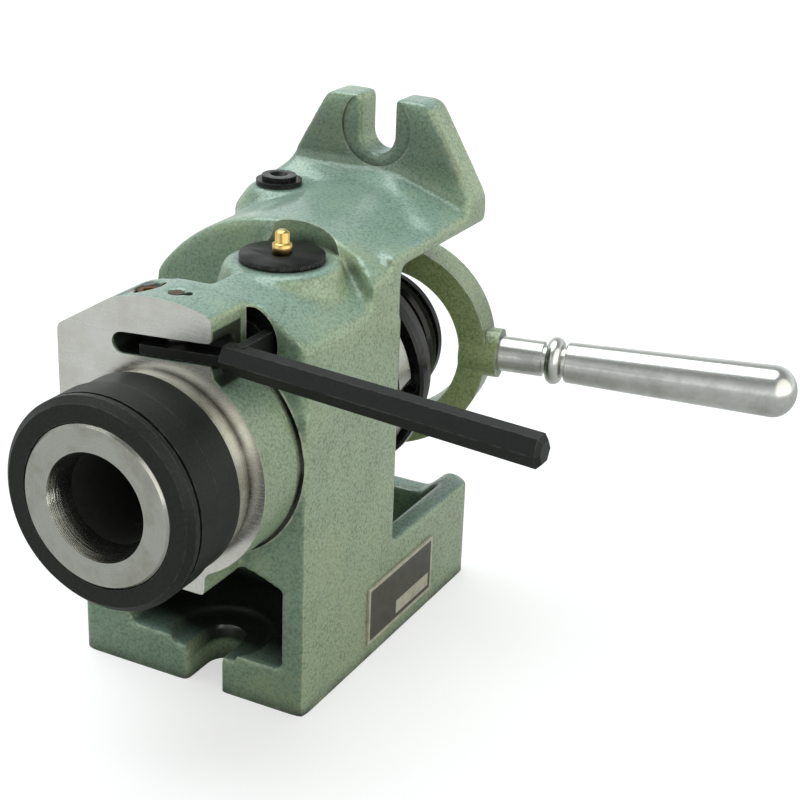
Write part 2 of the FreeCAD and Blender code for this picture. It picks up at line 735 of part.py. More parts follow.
def yoke_body(label, z="0"):
    """A body in the yoke's own frame: origin on its pivot, X along the yoke, turned as it stands."""
    return new_body(label, x="-pivot_side", y=PIVOT_Y, z=z, turn="yoke_turn")


def closer_yoke():
    """The cast yoke: a long ring about the collar, the hub at its pivot and the boss of the handle."""
    body = yoke_body("closer_yoke")
    low, high = "-yoke_thick / 2", "yoke_thick / 2"
    for kind, radius in (("Pad", "yoke_ring_radius"), ("Pocket", "yoke_hole_radius")):
        for side in ("-", "+"):
            round_between(body, kind, "front", low, high,
                          YOKE_MIDDLE + side + " yoke_spread", "axis_height", radius)
        between(body, kind, "front", low, high,
                box_outline(YOKE_MIDDLE + " - yoke_spread", "axis_height - " + radius,
                            YOKE_MIDDLE + " + yoke_spread", "axis_height + " + radius))
        if kind == "Pad":
            round_between(body, "Pad", "top", "pivot_post_top + ring_gap", "pivot_hub_top",
                          "0", "0", "pivot_hub_radius")
            round_between(body, "Pad", "side", YOKE_MIDDLE + " + yoke_hole_radius + yoke_spread",
                          "handle_root_end", "0", "axis_height", "handle_root_radius")
    round_between(body, "Pocket", "top", "pivot_post_top", "pivot_hub_top + 1",
                  "0", "0", "pivot_pin_radius + running_fit")
    round_between(body, "Pocket", "side", "handle_root_end - handle_stud", "handle_root_end + 1",
                  "0", "axis_height", "stud_radius + seat_fit")
    for side in ("-", "+"):
        inner = "axis_height %s (yoke_hole_radius - 1)" % side
        outer = "axis_height %s (yoke_ring_radius + 1)" % side
        low, high = (outer, inner) if side == "-" else (inner, outer)
        round_between(body, "Pocket", "top", low, high, YOKE_MIDDLE, "0", "trunnion_radius + seat_fit")


def trunnions():
    """The two trunnion screws that reach from the yoke into the collar's groove."""
    for label, side in (("trunnion_top", "+"), ("trunnion_bottom", "-")):
        body = yoke_body(label, z="axis_height")
        head = side + "(yoke_ring_radius)"
        top = side + "(yoke_ring_radius + trunnion_head)"
        tip = side + "(trunnion_tip)"
        turn_profile(body, "Revolution", "front", "V_Axis",
                     [("0", tip), ("trunnion_radius", tip), ("trunnion_radius", head),
                      ("trunnion_head_radius", head), ("trunnion_head_radius", top), ("0", top)])
        body.setExpression("Placement.Base.x", ref("-pivot_side + (%s) * cos(yoke_turn)" % YOKE_MIDDLE))
        body.setExpression("Placement.Base.y", ref("trunnion_rear"))


def yoke_pivot_screw():
    """The shoulder screw that the yoke turns on."""
    body = new_body("yoke_pivot_screw", x="-pivot_side", y=PIVOT_Y)
    head = "pivot_hub_top + ring_gap"
    turn_profile(body, "Revolution", "front", "V_Axis",
                 [("0", "pivot_post_top - pivot_pin_depth"), ("pivot_pin_radius", "pivot_post_top - pivot_pin_depth"),
                  ("pivot_pin_radius", head), ("pivot_head_radius", head),
                  ("pivot_head_radius", head + " + pivot_head_height"),
                  ("screw_socket", head + " + pivot_head_height"), ("screw_socket", head + " + edge_chamfer"),
                  ("0", head + " + edge_chamfer")])


def closer_handle():
    """The chromed handle: stud, neck, collar, and a grip that swells to a domed end."""
    body = yoke_body("closer_handle", z="axis_height")
    stud_end = "handle_root_end - handle_stud"
    turn_profile(body, "Revolution", "top", "H_Axis",
                 [(stud_end, "0"), ("handle_end", "0", "handle_dome", -1),
                  ("grip_end", "grip_end_radius"), ("handle_collar_end", "grip_start_radius"),
                  ("handle_collar_end", "handle_collar_radius"), ("handle_collar_start", "handle_collar_radius"),
                  ("handle_collar_start", "handle_neck_radius"), ("handle_root_end", "handle_neck_radius"),
                  ("handle_root_end", "stud_radius"), (stud_end, "stud_radius")])


def index_lever():
    """The index lever: a hexagonal rod outside the tower, a blade inside it, and a hub on its pivot."""
    body = new_body("index_lever")
    add_lever_rod(body)
    low = LEVER_Y + " - blade_depth / 2"
    high = LEVER_Y + " + blade_depth / 2"
    under = "tower_slot_middle - tower_slot_half + blade_gap"
    end = "-blade_end"
    between(body, "Pad", "front", low, high,
            [(end, under + " + tower_slot_slope * " + end),
             ("lever_neck_left", under + " + tower_slot_slope * lever_neck_left"),
             ("lever_neck_left", under + " + tower_slot_slope * lever_neck_left + blade_thick"),
             (end, under + " + tower_slot_slope * " + end + " + blade_thick")])
    between(body, "Pad", "front", LEVER_Y, FRONT + " + recess_depth - ring_gap",
            box_outline("lever_neck_left", "lever_rod_height - lever_rod_half",
                        "lever_neck_right", "lever_rod_height + lever_rod_half"))
    hub_front = FRONT + " + ring_gap + lever_head + ring_gap"
    between(body, "Pad", "front", hub_front, FRONT + " + recess_depth - ring_gap",
            box_outline("lever_pivot_side", "lever_pivot_height - lever_rod_half",
                        "lever_neck_right", "lever_pivot_height + lever_rod_half"))
    round_between(body, "Pad", "front", hub_front, FRONT + " + recess_depth - ring_gap",
                  "lever_pivot_side", "lever_pivot_height", "lever_hub_radius")
    round_between(body, "Pocket", "front", FRONT + " + ring_gap", FRONT + " + recess_depth",
                  "lever_pivot_side", "lever_pivot_height", "lever_pin_radius + running_fit")


def hexagon(across_half, y, z):
    """Six corners about y, z in a side sketch, with flats above and below."""
    corner = "(%s) / cos(30)" % across_half
    return [("%s + %s" % (y, corner), z), ("%s + %s / 2" % (y, corner), "%s + (%s)" % (z, across_half)),
            ("%s - %s / 2" % (y, corner), "%s + (%s)" % (z, across_half)), ("%s - %s" % (y, corner), z),
            ("%s - %s / 2" % (y, corner), "%s - (%s)" % (z, across_half)),
            ("%s + %s / 2" % (y, corner), "%s - (%s)" % (z, across_half))]


def add_lever_rod(body):
    """The hexagonal rod: it falls and swells a little to its chamfered end."""
    end_height = "lever_rod_height - lever_rod_length * tan(lever_rod_slope)"
    end_half = "lever_rod_half + lever_rod_growth"
    end = "lever_rod_start + lever_rod_length"
    doc.recompute()
    sections = [outline(body, "side", "lever_rod_start", hexagon("lever_rod_half", LEVER_Y, "lever_rod_height")),
                outline(body, "side", end + " - lever_tip_chamfer", hexagon(end_half, LEVER_Y, end_height)),
                outline(body, "side", end, hexagon(end_half + " - lever_tip_chamfer", LEVER_Y, end_height))]
    doc.recompute()
    loft = body.newObject("PartDesign::AdditiveLoft", "lever_rod")
    loft.Profile = (sections[0], [""])
    loft.Sections = [(section, [""]) for section in sections[1:]]
    loft.Ruled = True
    doc.recompute()


def lever_pivot_screw():
    """The shoulder screw in the recess that the lever turns on."""
    body = new_body("lever_pivot_screw", x="lever_pivot_side", z="lever_pivot_height")
    head_front = FRONT + " + ring_gap"
    head_rear = head_front + " + lever_head"
    end = FRONT + " + recess_depth + lever_pin_depth"
    turn_profile(body, "Revolution", "top", "V_Axis",
                 [("0", head_front + " + edge_chamfer"), ("screw_socket", head_front + " + edge_chamfer"),
                  ("screw_socket", head_front), ("lever_head_radius", head_front), ("lever_head_radius", head_rear),
                  ("lever_pin_radius", head_rear), ("lever_pin_radius", end), ("0", end)])


def index_plunger():
    """The index plunger: a round bar with a wedge at its tip and a notch for the lever's blade."""
    body = new_body("index_plunger", y="-plunger_back")
    rim = "axis_height + index_radius + plunger_play"
    tip = "axis_height + index_radius - notch_depth + plunger_play"
    round_between(body, "Pad", "top", rim, "plunger_top", "0", "0", "plunger_radius")
    between(body, "Pad", "front", "-wedge_half_length", "wedge_half_length",
            [("-notch_floor_half + wedge_play", tip), ("notch_floor_half - wedge_play", tip),
             ("notch_half - wedge_play", rim + " + plunger_play"), ("-notch_half + wedge_play", rim + " + plunger_play")])
    blade_low = "tower_slot_middle - tower_slot_half + blade_gap"
    between(body, "Pocket", "top", blade_low + " - blade_play", blade_low + " + blade_thick + blade_play",
            box_outline("-plunger_radius - 1", "-plunger_radius - 1", "plunger_radius + 1", NOTCH_BACK))


def plunger_spring():
    """The spring over the plunger, as a plain tube."""
    body = new_body("plunger_spring", y="-plunger_back")
    turn_profile(body, "Revolution", "front", "V_Axis",
                 box_outline("plunger_radius - spring_wire", "plunger_top", "plunger_radius - running_fit", "spring_top"))


def upright_screw(label, x, y, low, high, radius, socket_depth):
    """A headless screw on an upright axis, with its socket in the top."""
    body = new_body(label, x=x, y=y)
    turn_profile(body, "Revolution", "front", "V_Axis",
                 [("0", low), (radius, low), (radius, high), ("screw_socket * " + radius + " / set_screw_radius", high),
                  ("screw_socket * " + radius + " / set_screw_radius", "%s - %s" % (high, socket_depth)),
                  ("0", "%s - %s" % (high, socket_depth))])


def tower_screws():
    upright_screw("tower_set_screw", "-set_screw_side", "-set_screw_back",
                  "set_screw_top - set_screw_length", "set_screw_top", "set_screw_radius", "lever_head")
    pin = new_body("spring_pin", y="-plunger_back")
    round_between(pin, "Pad", "top", "spring_top", "spring_top + pin_height", "0", "0", "pin_radius")


def cover_and_oiler():
    """The black screwed cover in the crown and the brass oiler in its middle."""
    cover = new_body("top_cover", x="cover_side", y="-cover_back")
    turn_profile(cover, "Revolution", "front", "V_Axis",
                 [("0", "crown_height - cover_shank"), ("cover_shank_radius", "crown_height - cover_shank"),
                  ("cover_shank_radius", "crown_height"), ("cover_radius", "crown_height"),
                  ("cover_radius", "crown_height + cover_thick"), ("0", "crown_height + cover_thick")])
    oiler = new_body("oiler", x="cover_side", y="-cover_back", z="crown_height + cover_thick")
    turn_profile(oiler, "Revolution", "front", "V_Axis",
                 [("0", "0"), ("oiler_base_radius", "0"), ("oiler_base_radius", "oiler_base"),
                  ("oiler_cap_radius", "oiler_base + edge_chamfer"), ("oiler_cap_radius", "oiler_height - edge_chamfer"),
                  ("oiler_cap_radius - edge_chamfer", "oiler_height"), ("0", "oiler_height")])


def lock_screw():
    """The screw that holds the closer still while the draw tube is set, with its nut and brass pad."""
    pad_low = "axis_height + sqrt(pow(carrier_radius; 2) - pow(boss_side - lock_pad_radius; 2)) + ring_gap"
    pad_top = pad_low + " + lock_pad_thick"
    head = "boss_top + lock_nut_thick + ring_gap"
    pad = new_body("lock_pad", x="-boss_side", y="boss_back")
    round_between(pad, "Pad", "top", pad_low, pad_top, "0", "0", "lock_pad_radius")
    screw = new_body("lock_screw", x="-boss_side", y="boss_back")
    turn_profile(screw, "Revolution", "front", "V_Axis",
                 [("0", pad_top), ("lock_radius", pad_top), ("lock_radius", head), ("lock_head_radius", head),
                  ("lock_head_radius", "lock_top"), ("lock_socket", "lock_top"),
                  ("lock_socket", "lock_top - lock_socket"), ("0", "lock_top - lock_socket")])
    nut = new_body("lock_nut", x="-boss_side", y="boss_back")
    turn_profile(nut, "Revolution", "front", "V_Axis",
                 box_outline("lock_radius + running_fit", "boss_top", "lock_nut_radius", "boss_top + lock_nut_thick"))


def name_plate():
    """The thin plate on the base's right side."""
    body = new_body("name_plate")
    between(body, "Pad", "side", "base_right", "base_right + plate_thick",
            box_outline("-plate_front", "plate_bottom", "-plate_front + plate_length", "plate_bottom + plate_height"))


body_casting()
fixed_rings()
spindle()
nose_rings()
index_ring()
rear_rings()
draw_tube()
closing_collar()
closer_yoke()
trunnions()
yoke_pivot_screw()
closer_handle()
index_lever()
lever_pivot_screw()
index_plunger()
plunger_spring()
tower_screws()
cover_and_oiler()
lock_screw()
name_plate()
doc.recompute()

bodies = [item for item in doc.Objects if item.TypeId == "PartDesign::Body"]
for item in doc.Objects:
    if "Invalid" in item.State or "Error" in item.State:
        raise ValueError("%s failed to rebuild" % item.Label)
for body in bodies:
    if body.Shape.isNull() or not body.Shape.isValid() or len(body.Shape.Solids) != 1:
        raise ValueError("%s isn't one sound solid" % body.Label)

os.makedirs("parts", exist_ok=True)
for body in bodies:
    body.Shape.exportStep("parts/%s.step" % body.Label)
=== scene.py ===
"""Looks for a collet index fixture: a cast, painted body with a hollow steel spindle, an index lever
in front and a closer yoke with a chromed handle behind. Metres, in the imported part's own frame."""

import math

import bmesh
import bpy
from mathutils import Matrix, Vector


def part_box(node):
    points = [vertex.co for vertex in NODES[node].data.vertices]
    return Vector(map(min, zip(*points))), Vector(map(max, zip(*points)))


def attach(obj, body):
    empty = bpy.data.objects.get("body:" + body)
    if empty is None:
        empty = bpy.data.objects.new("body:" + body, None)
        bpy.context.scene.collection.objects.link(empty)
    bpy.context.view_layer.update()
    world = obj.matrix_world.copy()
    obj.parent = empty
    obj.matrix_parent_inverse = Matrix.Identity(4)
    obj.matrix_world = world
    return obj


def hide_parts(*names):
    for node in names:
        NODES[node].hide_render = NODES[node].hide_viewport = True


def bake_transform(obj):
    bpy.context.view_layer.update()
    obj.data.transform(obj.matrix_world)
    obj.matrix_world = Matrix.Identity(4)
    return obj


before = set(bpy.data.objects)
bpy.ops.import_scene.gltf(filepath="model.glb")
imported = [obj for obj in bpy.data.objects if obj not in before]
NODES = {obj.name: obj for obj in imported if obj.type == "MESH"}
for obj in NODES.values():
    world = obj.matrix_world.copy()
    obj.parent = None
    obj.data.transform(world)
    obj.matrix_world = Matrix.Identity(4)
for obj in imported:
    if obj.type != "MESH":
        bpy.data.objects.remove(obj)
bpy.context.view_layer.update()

# Iron casting
# One grey iron casting carries everything: base, column, front housing and the ear behind. It is
# sprayed with a thick green hammer finish; the housing's front face and the seats are machined after.

# Painted light: the casting's tones by facing, paler on the tops and on the faces turned to +X, darker on the
# other uprights.
LIT_TOP_PAINT = (0.275, 0.410, 0.335, 1)
SHADED_UPRIGHT_PAINT = (0.235, 0.345, 0.235, 1)
LIT_RIGHT_SIDE_PAINT = (0.375, 0.480, 0.315, 1)
AGED_PAINT = (0.34, 0.38, 0.19, 1)
PAINT_EDGE = (0.50, 0.54, 0.38, 1)
# Near black for painted shade: alone in the shade boxes, and mixed with dirt in corners.
SHADE_AND_DIRT_BLACK = (0.012, 0.013, 0.010, 1)


def node(tree, kind, inputs=None, **settings):
    """Add a shader node, set its options, and link or set its inputs."""
    made = tree.nodes.new(kind)
    for name, value in settings.items():
        setattr(made, name, value)
    for socket, value in (inputs or {}).items():
        if isinstance(value, bpy.types.NodeSocket):
            tree.links.new(value, made.inputs[socket])
        else:
            made.inputs[socket].default_value = value
    return made


def ramp(tree, factor, low, high, low_value=0.0, high_value=1.0):
    """Map a value from low..high to low_value..high_value, clamped."""
    made = node(tree, "ShaderNodeMapRange", {"Value": factor, "From Min": low, "From Max": high,
                                             "To Min": low_value, "To Max": high_value})
    return made.outputs["Result"]


def mix(tree, factor, first, second):
    """Blend two colours by a mask."""
    made = node(tree, "ShaderNodeMix", data_type="RGBA")
    for socket, value in ((0, factor), (6, first), (7, second)):
        if isinstance(value, bpy.types.NodeSocket):
            tree.links.new(value, made.inputs[socket])
        else:
            made.inputs[socket].default_value = value
    return made.outputs[2]


def new_group(name, inputs, outputs):
    """A shader node group with float inputs (name: default) and named outputs (name: kind)."""
    group = bpy.data.node_groups.new(name, "ShaderNodeTree")
    for socket, default in inputs.items():
        made = group.interface.new_socket(socket, in_out="INPUT", socket_type="NodeSocketFloat")
        made.default_value = default
    for socket, kind in outputs.items():
        group.interface.new_socket(socket, in_out="OUTPUT", socket_type=kind)
    return group, node(group, "NodeGroupInput").outputs, node(group, "NodeGroupOutput").inputs


def use(tree, group, **values):
    """Place a group in a material with its own values and return its outputs."""
    made = node(tree, "ShaderNodeGroup", node_tree=group)
    for name, value in values.items():
        made.inputs[name.replace("_", " ")].default_value = value
    return made.outputs


def new_material(name, **settings):
    """A material with its Principled shader, whose plain settings go on its own sockets."""
    made = bpy.data.materials.new(name)
    made.use_nodes = True
    shader = made.node_tree.nodes["Principled BSDF"]
    for socket, value in settings.items():
        shader.inputs[socket.replace("_", " ")].default_value = value
    return made, made.node_tree, shader


def edge_wear_group():
    """Mask of convex and concave edges, broken up by noise, for paint rubbed thin on corners."""
    group, given, out = new_group("Edge wear", {"Width": 0.0012, "Breakup": 260.0}, {"Edge": "NodeSocketFloat"})
    rounded = node(group, "ShaderNodeBevel", {"Radius": given["Width"]}, samples=6)
    flat = node(group, "ShaderNodeNewGeometry")
    along = node(group, "ShaderNodeVectorMath", {0: rounded.outputs["Normal"], 1: flat.outputs["Normal"]},
                 operation="DOT_PRODUCT")
    edge = ramp(group, along.outputs["Value"], 0.995, 0.90)
    place = node(group, "ShaderNodeTexCoord").outputs["Object"]
    patches = node(group, "ShaderNodeTexNoise", {"Vector": place, "Scale": given["Breakup"], "Detail": 3.0})
    broken = ramp(group, patches.outputs["Fac"], 0.38, 0.62)
    both = node(group, "ShaderNodeMath", {0: edge, 1: broken}, operation="MULTIPLY")
    group.links.new(both.outputs[0], out["Edge"])
    return group


def hammer_group():
    """Hammer finish: small round dimples with dark, oily rims, over slow swells of the casting."""
    group, given, out = new_group("Hammer finish", {"Cell size": 1150.0},
                                  {"Rim": "NodeSocketFloat", "Mottle": "NodeSocketFloat",
                                   "Height": "NodeSocketFloat"})
    place = node(group, "ShaderNodeTexCoord").outputs["Object"]
    bend = node(group, "ShaderNodeTexNoise", {"Vector": place, "Scale": 900.0, "Detail": 2.0})
    wander = node(group, "ShaderNodeVectorMath", {0: bend.outputs["Color"], 1: (0.0011,) * 3},
                  operation="MULTIPLY")
    moved = node(group, "ShaderNodeVectorMath", {0: place, 1: wander.outputs[0]}, operation="ADD")
    cells = node(group, "ShaderNodeTexVoronoi", {"Vector": moved.outputs[0], "Scale": given["Cell size"]},
                 feature="SMOOTH_F1")
    rim = ramp(group, cells.outputs["Distance"], 0.25, 0.75)
    slow = node(group, "ShaderNodeTexNoise", {"Vector": place, "Scale": 38.0, "Detail": 5.0, "Roughness": 0.6})
    swell = node(group, "ShaderNodeTexNoise", {"Vector": place, "Scale": 70.0, "Detail": 2.0})
    dimple = ramp(group, cells.outputs["Distance"], 0.0, 0.8, 0.0, 0.35)
    height = node(group, "ShaderNodeMath", {0: swell.outputs["Fac"], 1: dimple}, operation="SUBTRACT")
    group.links.new(rim, out["Rim"])
    group.links.new(ramp(group, slow.outputs["Fac"], 0.3, 0.7), out["Mottle"])
    group.links.new(height.outputs[0], out["Height"])
    return group


def grime_and_shade_group():
    """Mask of corners and recesses from ambient occlusion, broken by noise: painted shade there, mixed with dirt.
    """
    group, given, out = new_group("Grime and shade", {"Reach": 0.006, "Patch size": 90.0}, {"Dirt and shade": "NodeSocketFloat"})
    shade = node(group, "ShaderNodeAmbientOcclusion", {"Distance": given["Reach"]}, samples=6)
    place = node(group, "ShaderNodeTexCoord").outputs["Object"]
    patches = node(group, "ShaderNodeTexNoise", {"Vector": place, "Scale": given["Patch size"], "Detail": 4.0})
    closed = ramp(group, shade.outputs["AO"], 0.95, 0.35)
    uneven = ramp(group, patches.outputs["Fac"], 0.25, 0.6, 0.45, 1.0)
    amount = node(group, "ShaderNodeMath", {0: closed, 1: uneven}, operation="MULTIPLY")
    group.links.new(amount.outputs[0], out["Dirt and shade"])
    return group


EDGE_WEAR = edge_wear_group()
HAMMER = hammer_group()
GRIME_AND_SHADE = grime_and_shade_group()


def bump(tree, shader, height, strength, distance):
    made = node(tree, "ShaderNodeBump", {"Height": height, "Strength": strength, "Distance": distance})
    tree.links.new(made.outputs["Normal"], shader.inputs["Normal"])


def inside(tree, low_corner, high_corner, soft):
    """1 within a box of the object's own space, running to 0 over a soft distance along each axis."""
    parts = node(tree, "ShaderNodeSeparateXYZ", {0: node(tree, "ShaderNodeTexCoord").outputs["Object"]})
    made = None
    for axis in range(3):
        for edge, before, after in ((low_corner[axis], 0.0, 1.0), (high_corner[axis], 1.0, 0.0)):
            test = ramp(tree, parts.outputs[axis], edge - soft[axis], edge + soft[axis], before, after)
            if made is not None:
                test = node(tree, "ShaderNodeMath", {0: made, 1: test}, operation="MULTIPLY").outputs[0]
            made = test
    return made


def hammer_paint(name, level, upright, side, shades=()):
    """Hammer finish with painted light: the level tone on faces turned up, the side tone on faces turned to +X
    and the upright tone on the rest, as lit; yellowed on the edges; painted shade in the given boxes and, with
    dirt, in corners.
    """
    made, tree, shader = new_material(name, Metallic=0.15, Coat_Weight=0.5, Coat_Roughness=0.13)
    finish = use(tree, HAMMER)
    wear = use(tree, EDGE_WEAR, Width=0.0014)
    dirt_and_shade = use(tree, GRIME_AND_SHADE)
    # Painted light: the colour follows which way each face turns, in place of lamp light and shade.
    facing = node(tree, "ShaderNodeSeparateXYZ", {0: node(tree, "ShaderNodeNewGeometry").outputs["Normal"]})
    sides = mix(tree, ramp(tree, facing.outputs["X"], 0.25, 0.85), upright, side)
    facing_lit_coat = mix(tree, ramp(tree, facing.outputs["Z"], 0.55, 0.95), sides, level)
    deep = node(tree, "ShaderNodeHueSaturation", {"Color": facing_lit_coat, "Value": 0.60, "Saturation": 1.10})
    body = mix(tree, finish["Rim"], facing_lit_coat, deep.outputs["Color"])
    tone = node(tree, "ShaderNodeHueSaturation", {"Color": body,
                                                  "Value": ramp(tree, finish["Mottle"], 0, 1, 0.86, 1.14)})
    aged = mix(tree, ramp(tree, finish["Mottle"], 0.55, 1.0, 0.0, 0.38), tone.outputs["Color"], AGED_PAINT)
    coat = mix(tree, wear["Edge"], aged, PAINT_EDGE)
    # Painted shade: inside each box the coat is taken towards near black, where the casting lies in shade.
    for low_corner, high_corner, soft, shade in shades:
        amount = ramp(tree, inside(tree, low_corner, high_corner, soft), 0, 1, 0.0, shade)
        coat = mix(tree, amount, coat, SHADE_AND_DIRT_BLACK)
    # Darker in corners and recesses: painted shade mixed with dirt.
    tree.links.new(mix(tree, dirt_and_shade["Dirt and shade"], coat, SHADE_AND_DIRT_BLACK), shader.inputs["Base Color"])
    tree.links.new(ramp(tree, finish["Rim"], 0, 1, 0.32, 0.50), shader.inputs["Roughness"])
    bump(tree, shader, finish["Height"], 0.46, 0.0006)
    return made


def ground_group():
    """Straight grinding marks along X, in fine and broad strokes."""
    group, given, out = new_group("Ground face", {"Stroke": 3.0, "Pitch": 1400.0},
                                  {"Mark": "NodeSocketFloat", "Stain": "NodeSocketFloat"})
    place = node(group, "ShaderNodeTexCoord").outputs["Object"]
    stretch = node(group, "ShaderNodeCombineXYZ", {0: given["Stroke"], 1: given["Pitch"], 2: given["Pitch"]})
    along = node(group, "ShaderNodeVectorMath", {0: place, 1: stretch.outputs[0]}, operation="MULTIPLY")
    marks = node(group, "ShaderNodeTexNoise", {"Vector": along.outputs[0], "Scale": 1.0, "Detail": 4.0,
                                               "Roughness": 0.7})
    stains = node(group, "ShaderNodeTexNoise", {"Vector": place, "Scale": 55.0, "Detail": 6.0, "Roughness": 0.65})
    group.links.new(marks.outputs["Fac"], out["Mark"])
    group.links.new(ramp(group, stains.outputs["Fac"], 0.42, 0.72), out["Stain"])
    return group


GROUND = ground_group()


def ground_iron():
    """Surface-ground cast iron, pale grey with faint oily stains."""
    made, tree, shader = new_material("ground_iron", Metallic=0.85)
    face = use(tree, GROUND)
    dirt_and_shade = use(tree, GRIME_AND_SHADE, Reach=0.003)
    bare = mix(tree, face["Mark"], (0.80, 0.79, 0.75, 1), (0.97, 0.96, 0.92, 1))
    stained = mix(tree, face["Stain"], bare, (0.72, 0.69, 0.62, 1))
    # Darker in corners: painted shade mixed with dirt.
    tree.links.new(mix(tree, dirt_and_shade["Dirt and shade"], stained, (0.09, 0.08, 0.06, 1)), shader.inputs["Base Color"])
    tree.links.new(ramp(tree, face["Mark"], 0.3, 0.7, 0.20, 0.30), shader.inputs["Roughness"])
    bump(tree, shader, face["Mark"], 0.05, 0.0002)
    return made


SHARP = (0.0003, 0.0003, 0.0003)
# Boxes in the casting's own space whose paint goes towards near black: painted shade in the pocket, the lever
# slot, the oval hole and on the ear's front face.
POCKET_SHADE = ((-0.0345, -0.0570, 0.0080), (0.0345, -0.0090, 0.0580), (0.0010, 0.0070, 0.0010), 0.97)
LEVER_SLOT_SHADE = ((-0.0200, -0.0860, 0.1270), (0.0300, -0.0700, 0.1450), SHARP, 0.90)
OVAL_HOLE_SHADE = ((-0.0180, -0.0860, 0.1300), (-0.0050, -0.0690, 0.1505), SHARP, 0.92)
EAR_FACE_SHADE = ((-0.0450, 0.0490, 0.1630), (0.0450, 0.0545, 0.1830), (0.0020, 0.0010, 0.0050), 0.38)
HAMMER_PAINT = hammer_paint("green_hammer_paint", LIT_TOP_PAINT, SHADED_UPRIGHT_PAINT, LIT_RIGHT_SIDE_PAINT,
                            (POCKET_SHADE, LEVER_SLOT_SHADE, OVAL_HOLE_SHADE, EAR_FACE_SHADE))
# A darker copy of the paint for the hub recess: painted shade.
SHADED_RECESS_PAINT = hammer_paint("shaded_recess_paint", (0.050, 0.085, 0.040, 1), (0.030, 0.055, 0.022, 1),
                            (0.040, 0.065, 0.028, 1))
GROUND_IRON = ground_iron()

AXIS_HEIGHT = 0.095
BASE_LEFT, BASE_RIGHT = -0.053, 0.041
COLUMN_FRONT, EAR_FRONT = -0.065, 0.052
FRONT_RADIUS, LOW_RADIUS, ARCH_RADIUS = 0.057, 0.043, 0.065
RIDGE = 0.003
ARCH_FRONT = -0.015
SLAB_TOP, RAMP_START, RAMP_TOP = 0.152, 0.024, 0.1635
COVER_PLACE = Vector((0.0099, -0.030, 0.1518))
OLD_COVER_PLACE = Vector((0.0045, -0.023, 0.1485))
COVER_SPOT, COVER_FOOT, COVER_SHANK = 0.0198, 0.0250, 0.0118
LOCK_PLACE, LOCK_BOSS, LOCK_FOOT, LOCK_HOLE = Vector((-0.027, 0.028, 0.1590)), 0.0105, 0.0175, 0.0052
HUB_PLACE, HUB_OLD, HUB_RADIUS = (0.0175, 0.1355), 0.0134, 0.0122
HOUSING_RADIUS = 0.039
PLUNGER_PLACE, PLUNGER_BORE, SPRING_TOP = (0.0, -0.078), 0.0040, 0.1499
OVAL_PLACE, OVAL_RADIUS, OVAL_FLOOR = (-0.0108, -0.0770), 0.0028, 0.1460
OVAL_STRETCH, OVAL_TURN = (1, 2.4), math.radians(-14)
DIMPLE_PLACE, DIMPLE_RADIUS, DIMPLE_FLOOR = (0.0040, -0.0776), 0.0017, 0.1505
OVER_TOWER = 0.160
EAR_FOOT, EAR_SPOT_HEIGHT, EAR_SPOT, EAR_SPOT_DEPTH = 0.166, 0.179, 0.0145, 0.0012
casting = NODES["body_casting"]
low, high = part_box("body_casting")
MACHINED = ((Vector((0, -1, 0)), -low.y), (Vector((0, 1, 0)), high.y), (Vector((0, 0, -1)), -low.z))
STOCK = 0.004
CAST_GRAIN = 0.00115
BLEND_PASSES, CROWN_PASSES = 4, 16
ACROSS, ALONG, UPWARD = (0, 2, 1), (1, 2, 0), (0, 1, 2)


def arc(radius, start, end, steps=28):
    """Points of an arc over the spindle axis, seen from the front, between two distances across."""
    first, last = (math.acos(max(-1, min(1, x / radius))) for x in (start, end))
    turns = [first + (last - first) * step / steps for step in range(steps + 1)]
    return [(radius * math.cos(turn), AXIS_HEIGHT + radius * math.sin(turn)) for turn in turns]


def prism(shape, outline, start, end, axes):
    """Add a closed prism: the outline's two axes, then the axis it runs along from start to end."""
    rings = []
    for level in (start, end):
        ring = []
        for point in outline:
            corner = [0, 0, 0]
            corner[axes[0]], corner[axes[1]], corner[axes[2]] = point[0], point[1], level
            ring.append(shape.verts.new(corner))
        rings.append(ring)
    sides = [shape.faces.new((rings[0][i - 1], rings[0][i], rings[1][i], rings[1][i - 1]))
             for i in range(len(outline))]
    caps = [shape.faces.new(ring) for ring in rings]
    bmesh.ops.recalc_face_normals(shape, faces=sides + caps)


def drum(shape, middle, radius, start, end, stretch=(1, 1), turn=0.0):
    """Add an upright closed cylinder, round or drawn out to an oval."""
    ring = []
    for step in range(48):
        angle = math.tau * step / 48
        x, y = radius * stretch[0] * math.cos(angle), radius * stretch[1] * math.sin(angle)
        ring.append((middle[0] + x * math.cos(turn) - y * math.sin(turn),
                     middle[1] + x * math.sin(turn) + y * math.cos(turn)))
    prism(shape, ring, start, end, UPWARD)


def flared(shape, middle, foot, top, start, end):
    """Add an upright boss, wider at its foot."""
    bmesh.ops.create_cone(shape, cap_ends=True, segments=48, radius1=foot, radius2=top, depth=end - start,
                          matrix=Matrix.Translation((middle[0], middle[1], (start + end) / 2)))


def circle(middle, radius, start=0.0, end=360.0):
    """Points round a middle, seen from the front, from one angle to another."""
    count = 44
    angles = [math.radians(start + (end - start) * step / count) for step in range(count + (end - start < 360))]
    return [(middle[0] + radius * math.cos(angle), middle[1] + radius * math.sin(angle)) for angle in angles]


def linked(data):
    made = bpy.data.objects.new(data.name, data)
    bpy.context.scene.collection.objects.link(made)
    return made


def settled(obj):
    """The object's mesh with its modifiers made real."""
    graph = bpy.context.evaluated_depsgraph_get()
    data = bpy.data.meshes.new_from_object(obj.evaluated_get(graph))
    bpy.data.objects.remove(obj)
    return data


